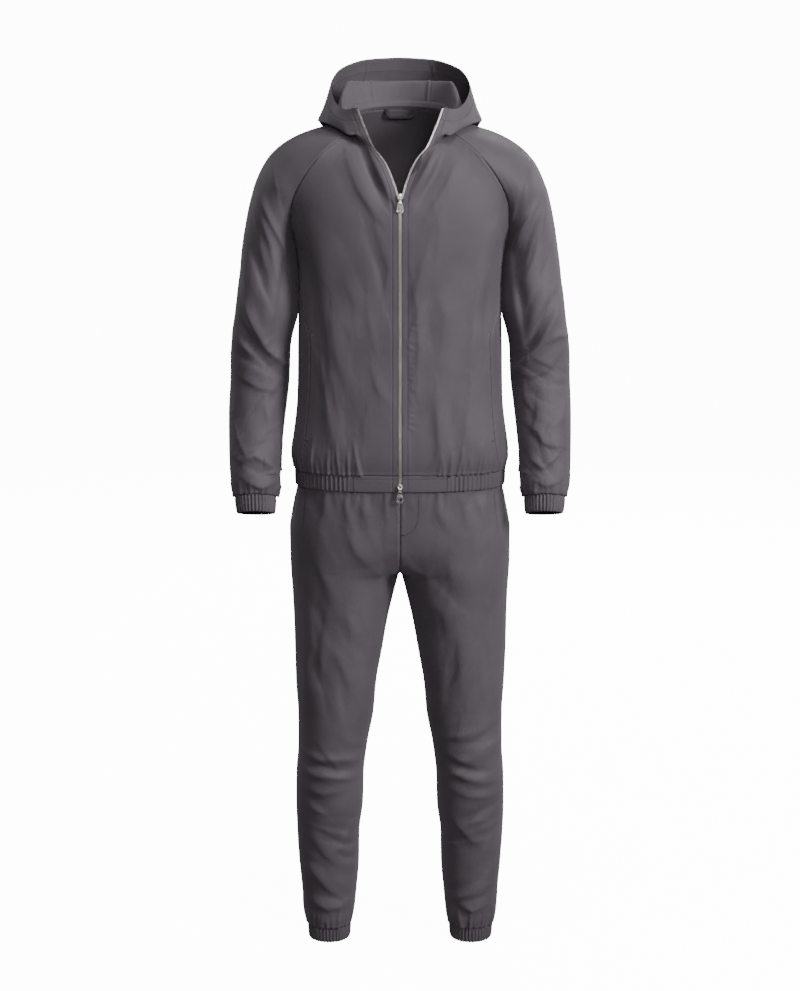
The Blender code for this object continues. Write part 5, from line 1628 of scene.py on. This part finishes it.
def make_closed_teeth():
    path = zip_path()
    far = distances(path)
    stop = np.interp(SLIDER_TOP_Z - 4.0, path[:, 2], far)
    across = np.array([1.0, 0.0, 0.0])
    shapes = []
    for k in range(int(stop / CLOSED_STEP)):
        at = (k + 0.5) * CLOSED_STEP
        middle = between(far, path, at)
        along = unit(between(far, path, at + 1) - middle)
        out = np.cross(across, along)
        out = out * -np.sign(out[1])
        way = 1 if k % 2 else -1
        middle = middle + across * way * 1.2 + out * 0.35
        shapes.append(tooth(middle, along, across, out, *CLOSED_TOOTH))
    many("teeth_closed", shapes, CHAIN_MAT, ["zip_chain"])


def make_open_teeth():
    start = SPLIT + (1 - SPLIT) * 0.49
    frames = edge_frames(zip_line(front, 80, start, 1.0) + zip_line(hood, 80, 0.004, 0.99))
    edge, into, outs = (np.array([f[k] for f in frames]) for k in range(3))
    far = distances(edge)
    for side, name in SIDES:
        shapes = []
        for k in range(int(far[-1] / OPEN_STEP)):
            at = (k + 0.4 + 0.25 * side) * OPEN_STEP
            d = between(far, into, at)
            out = unit(between(far, outs, at))
            along = unit(between(far, edge, at + 1.0) - between(far, edge, at - 1.0))
            middle = between(far, edge, at) - d * 2.0 + out * 0.3
            points, faces = tooth(middle, along, d, out, *OPEN_TOOTH)
            shapes.append((*on_side(side, np.array(points)), faces))
        many(f"teeth_open_{name}", shapes, CHAIN_MAT, [f"zip_teeth_{name}"])


def make_tapes():
    rows = zip_line(hem_ring, 14, 0.01, 0.99) + zip_line(front, 70, 0.003, SPLIT)
    rows = rows + zip_line(front, 70, SPLIT + 0.01, 0.998) + zip_line(hood, 60, 0.004, 0.985)
    lines = []
    outs = []
    for p, d, n, surface, v, rate in edge_frames(rows):
        away = -(SHELL + 0.7 + 0.9 * (surface is hood))
        line = []
        for w in np.linspace(-2.4, TAPE_WIDE, 9):
            at = surface(np.array([w * rate]), v)[0] if w > 0 else p + d * w
            line.append(at + n * away)
        lines.append(line)
        outs.append([n] * 9)
    for side, name in SIDES:
        outer, n = on_side(side, np.array(lines), np.array(outs))
        made = shell(f"tape_{name}", outer, n, TAPE_THICK, False, side)
        place(made, ROOT, [f"zip_tape_{name}"], "tape", TAPE_MAT, *CUTS["zip_tape"])


def plate(outlines, thick, bevel):
    """A flat plate with holes and rounded edges, as points and faces round y = 0.

    The first outline is the border and each other one is a hole, in x and z.
    """
    line = bpy.data.curves.new("plate", "CURVE")
    line.dimensions = "2D"
    line.fill_mode = "BOTH"
    line.extrude = thick / 2 - bevel
    line.bevel_depth = bevel
    line.bevel_resolution = 2
    line.offset = -bevel
    for outline in outlines:
        spline = line.splines.new("POLY")
        spline.points.add(len(outline) - 1)
        for point, (x, z) in zip(spline.points, outline):
            point.co = (x, z, 0.0, 1.0)
        spline.use_cyclic_u = True
    made = linked("plate", line)
    bpy.context.view_layer.update()
    mesh = made.to_mesh()
    bm = bmesh.new()
    bm.from_mesh(mesh)
    bmesh.ops.remove_doubles(bm, verts=bm.verts[:], dist=1e-4)
    bm.verts.index_update()
    points = np.array([(p.co.x, -p.co.z, p.co.y) for p in bm.verts])
    faces = [tuple(p.index for p in f.verts) for f in bm.faces]
    bm.free()
    made.to_mesh_clear()
    bpy.data.objects.remove(made)
    bpy.data.curves.remove(line)
    return points, faces


def rounded(corners, steps=5):
    """An outline through corners, each given as x, z and a radius, going round once."""
    out = []
    count = len(corners)
    for k in range(count):
        x, z, radius = corners[k]
        at = np.array([x, z], float)
        before = np.array(corners[k - 1][:2], float) - at
        after = np.array(corners[(k + 1) % count][:2], float) - at
        before /= np.linalg.norm(before)
        after /= np.linalg.norm(after)
        a = at + before * radius
        b = at + after * radius
        for t in np.linspace(0, 1, steps):
            out.append(tuple(a * (1 - t) ** 2 + 2 * at * t * (1 - t) + b * t**2))
    return out


def even(half):
    """An outline alike on both sides, from its corners at -X, top to bottom."""
    other = [(-x, z, radius) for x, z, radius in half]
    return rounded([other[0], *half, *other[:0:-1]])


def oval(x, z, wide, high, count=24):
    turns = np.arange(count) * 2 * math.pi / count
    return [(x + wide * math.cos(a), z + high * math.sin(a)) for a in turns]


def moved(shape, x=0.0, y=0.0, z=0.0, turned=False):
    """A plate's points at a place, turned to stand across x where asked."""
    points, faces = shape
    if turned:
        points = np.stack([points[:, 1], points[:, 0], points[:, 2]], axis=1)
    return points + np.array([x, y, z]), faces


# Corners of the metal parts as x, z and radius: of those alike on both sides, the ones at -X
SLIDE_HALF = [(-2.2, 6.0, 1.0), (-4.2, 2.2, 1.2), (-4.2, -1.5, 1.2), (-3.2, -6.0, 0.8)]
LUG = [
    (0.4, 4.2, 0.6), (-1.6, 3.6, 1.2), (-3.4, -1.0, 1.4), (-3.4, -4.2, 1.2), (-1.6, -5.4, 0.8),
    (0.4, -5.4, 0.3),
]
TAB_TOP_HALF = [
    (-2.0, -1.3, 0.3), (-2.1, -4.9, 0.5), (-3.6, -6.6, 0.7), (-6.2, -21.0, 0.8),
    (-5.8, -24.2, 1.4),
]
TAB_TOP_HOLE = [(-1.6, -9.0, 0.6), (-3.9, -21.0, 1.2)]
TAB_BOTTOM_HALF = [
    (-2.1, -1.3, 0.3), (-3.8, -4.6, 1.4), (-4.0, -9.5, 1.6), (-6.0, -13.5, 2.2),
    (-6.2, -21.5, 2.6), (-3.2, -25.0, 2.2),
]

# Thickness of each plate and its rounding
SLIDE_PLATE = (1.6, 0.4)
LUG_PLATE = (1.15, 0.28)
TAB_PLATE = (1.2, 0.3)
PIN_PLATE = (6.6, 0.15)
EYE_PLATE = (4.0, 0.25)

# The pull's pin: how far before the slider's face and below its middle, and its radius
PIN_AHEAD = 3.8
PIN_BELOW = 2.5
PIN_RADIUS = 0.75
LUG_X = 3.1


def make_sliders():
    tab_top = [even(TAB_TOP_HALF), even(TAB_TOP_HOLE)]
    tab_bottom = [
        even(TAB_BOTTOM_HALF), oval(0, -7.4, 1.6, 1.6, 16), oval(0, -18.2, 3.7, 3.6, 24)
    ]
    for name, z, face_y, outlines in (
        ("top", SLIDER_TOP_Z, SLIDER_TOP_Y, tab_top),
        ("bottom", SLIDER_BOTTOM_Z, SLIDER_BOTTOM_Y, tab_bottom),
    ):
        shapes = [moved(plate([even(SLIDE_HALF)], *SLIDE_PLATE), y=face_y - 0.8, z=z)]
        for x in (-LUG_X, LUG_X):
            lug = plate([rounded(LUG)], *LUG_PLATE)
            shapes.append(moved(lug, x=x, y=face_y - 1.4, z=z, turned=True))
        at = {"y": face_y - PIN_AHEAD, "z": z - PIN_BELOW}
        pin = plate([oval(0, 0, PIN_RADIUS, PIN_RADIUS, 14)], *PIN_PLATE)
        shapes.append(moved(pin, turned=True, **at))
        many(f"slide_{name}", shapes, METAL_MAT, [f"slider_{name}"])
        eye = plate([oval(0, 0, 1.75, 1.75, 20), oval(0, 0, 1.1, 1.1, 20)], *EYE_PLATE)
        tab = [moved(eye, turned=True, **at), moved(plate(outlines, *TAB_PLATE), **at)]
        many(f"tab_{name}", tab, METAL_MAT, [f"pull_{name}"], body=f"pull_{name}")


LOOP_TOP = -9.6
LOOP_MIDDLE = 1.5


def make_neck():
    def inside(u, v):
        u, v = grids(u, v)
        s = 1 - np.abs(2 * u - 1) * 0.6
        reach = np.interp(s, (0.4, 0.55, 0.75, 1.0), (0.045, 0.032, 0.027, 0.026))
        at = 0.003 + v * reach
        return both_halves(hood(s, at) - normals(hood, s, at, 1) * (SHELL + 4 * GAP), u)

    us = np.linspace(0, 1, 161)
    u, v = np.meshgrid(us, np.linspace(0, 1, 7))
    p = inside(u, v)
    n = -normals(inside, u, v, 1)
    made = shell("tape_neck", p, -n, 0.8)
    place(made, ROOT, ["neck_tape"], "tape", CLOTH_MAT, *CUTS["neck_tape"])
    sew(inset(p, n, "t", 1.6))


def make_loop():
    """The hanger loop, from the corners of its half at -X round a middle line."""
    half = [(-25.0, LOOP_TOP), (-25.0, LOOP_TOP - 7), (-23.5, -21.5), (-19.5, -25.0), (-8.0, -25.0)]
    half = half + [(-x, z) for x, z in half[::-1]]
    path = dotted([(LOOP_MIDDLE + x, z) for x, z in half], 61)
    for _ in range(6):
        path[1:-1] = (path[:-2] + 2 * path[1:-1] + path[2:]) / 4
    step = unit(np.gradient(path, axis=0))
    across = np.stack([-step[:, 1], step[:, 0]], axis=1)
    rows = []
    for w in np.linspace(-3.0, 3.0, 7):
        q = path + across * w
        y = 80.4 - 0.0045 * q[:, 0] ** 2 + (LOOP_TOP - q[:, 1]) * 0.1
        rows.append(np.stack([q[:, 0], y - 0.25 * (1 - (w / 3.0) ** 4), q[:, 1]], axis=1))
    outer = np.array(rows)
    n = np.zeros(outer.shape)
    n[..., 1] = -1.0
    made = shell("loop_hanger", outer, n, 1.2)
    place(made, ROOT, ["hanger_loop"], "tape", TAPE_MAT)
    for w in (1, 5):
        sew((outer[w], n[w]), 2.6, 1.9)


def make_fly(outer, n, side):
    """Stitching of a trouser front: its pocket edge and, on one side, the false fly."""
    # The pocket edge and the fly are drawn as rows of dark stitches, which partly stand in for the
    # shadow lines of the seams there: painted shade.
    pocket = [(side * 167, -677), (side * 170, -715), (side * 174, -751)]
    sew(on_cloth(outer, n, dotted(pocket, 40)), 2.6, 2.4, 0.2)
    if side < 0:
        return
    curve_line = [
        (32.5, -676), (32.6, -700), (32.2, -716), (29.5, -729), (24.0, -739), (17.0, -744),
        (10.5, -747),
    ]
    sew(on_cloth(outer, n, dotted(curve_line, 50)), 2.4, 2.2, 0.3)
    for low in (-749.5, -748.7, -747.9):
        sew(on_cloth(outer, n, dotted([(0.8, low), (9.0, low)], 8)), 2.4, 2.3, 0.3)


# The studio, in metres and degrees
FLOOR_RADIUS = 11.0
FLOOR_BEND = 2.0
WALL_TOP = 14.0
LAMP_AIM = (0.0, 0.0, -0.7)
CAMERA_AT = (0.0, -4.2, 0.05)
CAMERA_TURN = 79.9
CAMERA_LENS = 85.77


def make_stage():
    """A pale round floor that curves up into a backdrop on every side."""
    profile = [(0.02, 0.0), (FLOOR_RADIUS, 0.0)]
    for a in np.linspace(0, math.pi / 2, 13)[1:]:
        profile.append((FLOOR_RADIUS + FLOOR_BEND * math.sin(a), FLOOR_BEND * (1 - math.cos(a))))
    profile.append((FLOOR_RADIUS + FLOOR_BEND, WALL_TOP))
    turns = 64
    points = []
    for k in range(turns):
        a = 2 * math.pi * k / turns
        points.extend((r * math.cos(a), r * math.sin(a), z + FLOOR_Z) for r, z in profile)
    count = len(profile)
    faces = [tuple(k * count for k in range(turns))]
    for k in range(turns):
        here = k * count
        after = (k + 1) % turns * count
        for i in range(count - 1):
            faces.append((here + i, here + i + 1, after + i + 1, after + i))
    mesh = bpy.data.meshes.new("stage_sweep")
    mesh.from_pydata(points, [], faces)
    mesh.polygons.foreach_set("use_smooth", np.ones(len(mesh.polygons), bool))
    paper, _, shader = blank_material("stage_paper")
    shader.inputs["Base Color"].default_value = (0.86, 0.86, 0.865, 1)
    shader.inputs["Roughness"].default_value = 0.9
    shader.inputs["Specular IOR Level"].default_value = 0.1
    shader.inputs["Emission Color"].default_value = (1.0, 1.0, 1.0, 1)
    shader.inputs["Emission Strength"].default_value = 13.0
    made = linked("stage_sweep", mesh)
    made.visible_diffuse = False
    made.visible_glossy = False
    made.visible_shadow = False
    made.data.materials.append(paper)


def lamp(name, where, size, power, aim=LAMP_AIM):
    light = bpy.data.lights.new(name, "AREA")
    light.shape = "SQUARE"
    light.size = size
    light.energy = power
    made = linked(name, light)
    made.location = where
    made.rotation_euler = (Vector(aim) - Vector(where)).to_track_quat("-Z", "Y").to_euler()


def make_studio():
    make_stage()
    lamp("key", (3.5, -2.7, 1.3), 1.2, 275.0)
    lamp("front", (0.5, -4.8, 0.9), 1.2, 96.0)
    lamp("fill", (-3.4, -2.4, 0.0), 1.4, 4.0)
    lamp("top", (0.2, -1.0, 3.2), 1.4, 70.0, aim=(0.0, 0.0, -0.3))
    lamp("back", (0.7, 4.6, 1.3), 1.6, 190.0)
    lamp("back_left", (-2.8, 2.4, 0.4), 1.6, 16.0)
    lamp("back_right", (2.8, 2.4, 0.4), 1.6, 30.0)
    world = bpy.data.worlds.new("studio_air")
    world.use_nodes = True
    air = world.node_tree.nodes["Background"]
    air.inputs["Color"].default_value = (0.95, 0.95, 0.96, 1)
    air.inputs["Strength"].default_value = 0.16
    bpy.context.scene.world = world
    view = bpy.data.cameras.new("camera")
    view.lens = CAMERA_LENS
    view.sensor_width = 36.0
    view.clip_end = 50.0
    made = linked("camera", view)
    made.location = CAMERA_AT
    made.rotation_euler = (math.radians(CAMERA_TURN), 0.0, 0.0)
    bpy.context.scene.camera = made


make_studio()
make_body()
make_sleeves()
make_hood()
make_bands()
make_trousers()
make_pockets()
make_closed_teeth()
make_open_teeth()
make_tapes()
make_sliders()
make_neck()
make_loop()
# All stitches take the dark thread material, whose darkness is partly painted seam shade.
stitches = stitch_mesh("stitching")
place(stitches, ROOT, [], "cloth", DARK_THREAD_SEAM_SHADE_MAT)
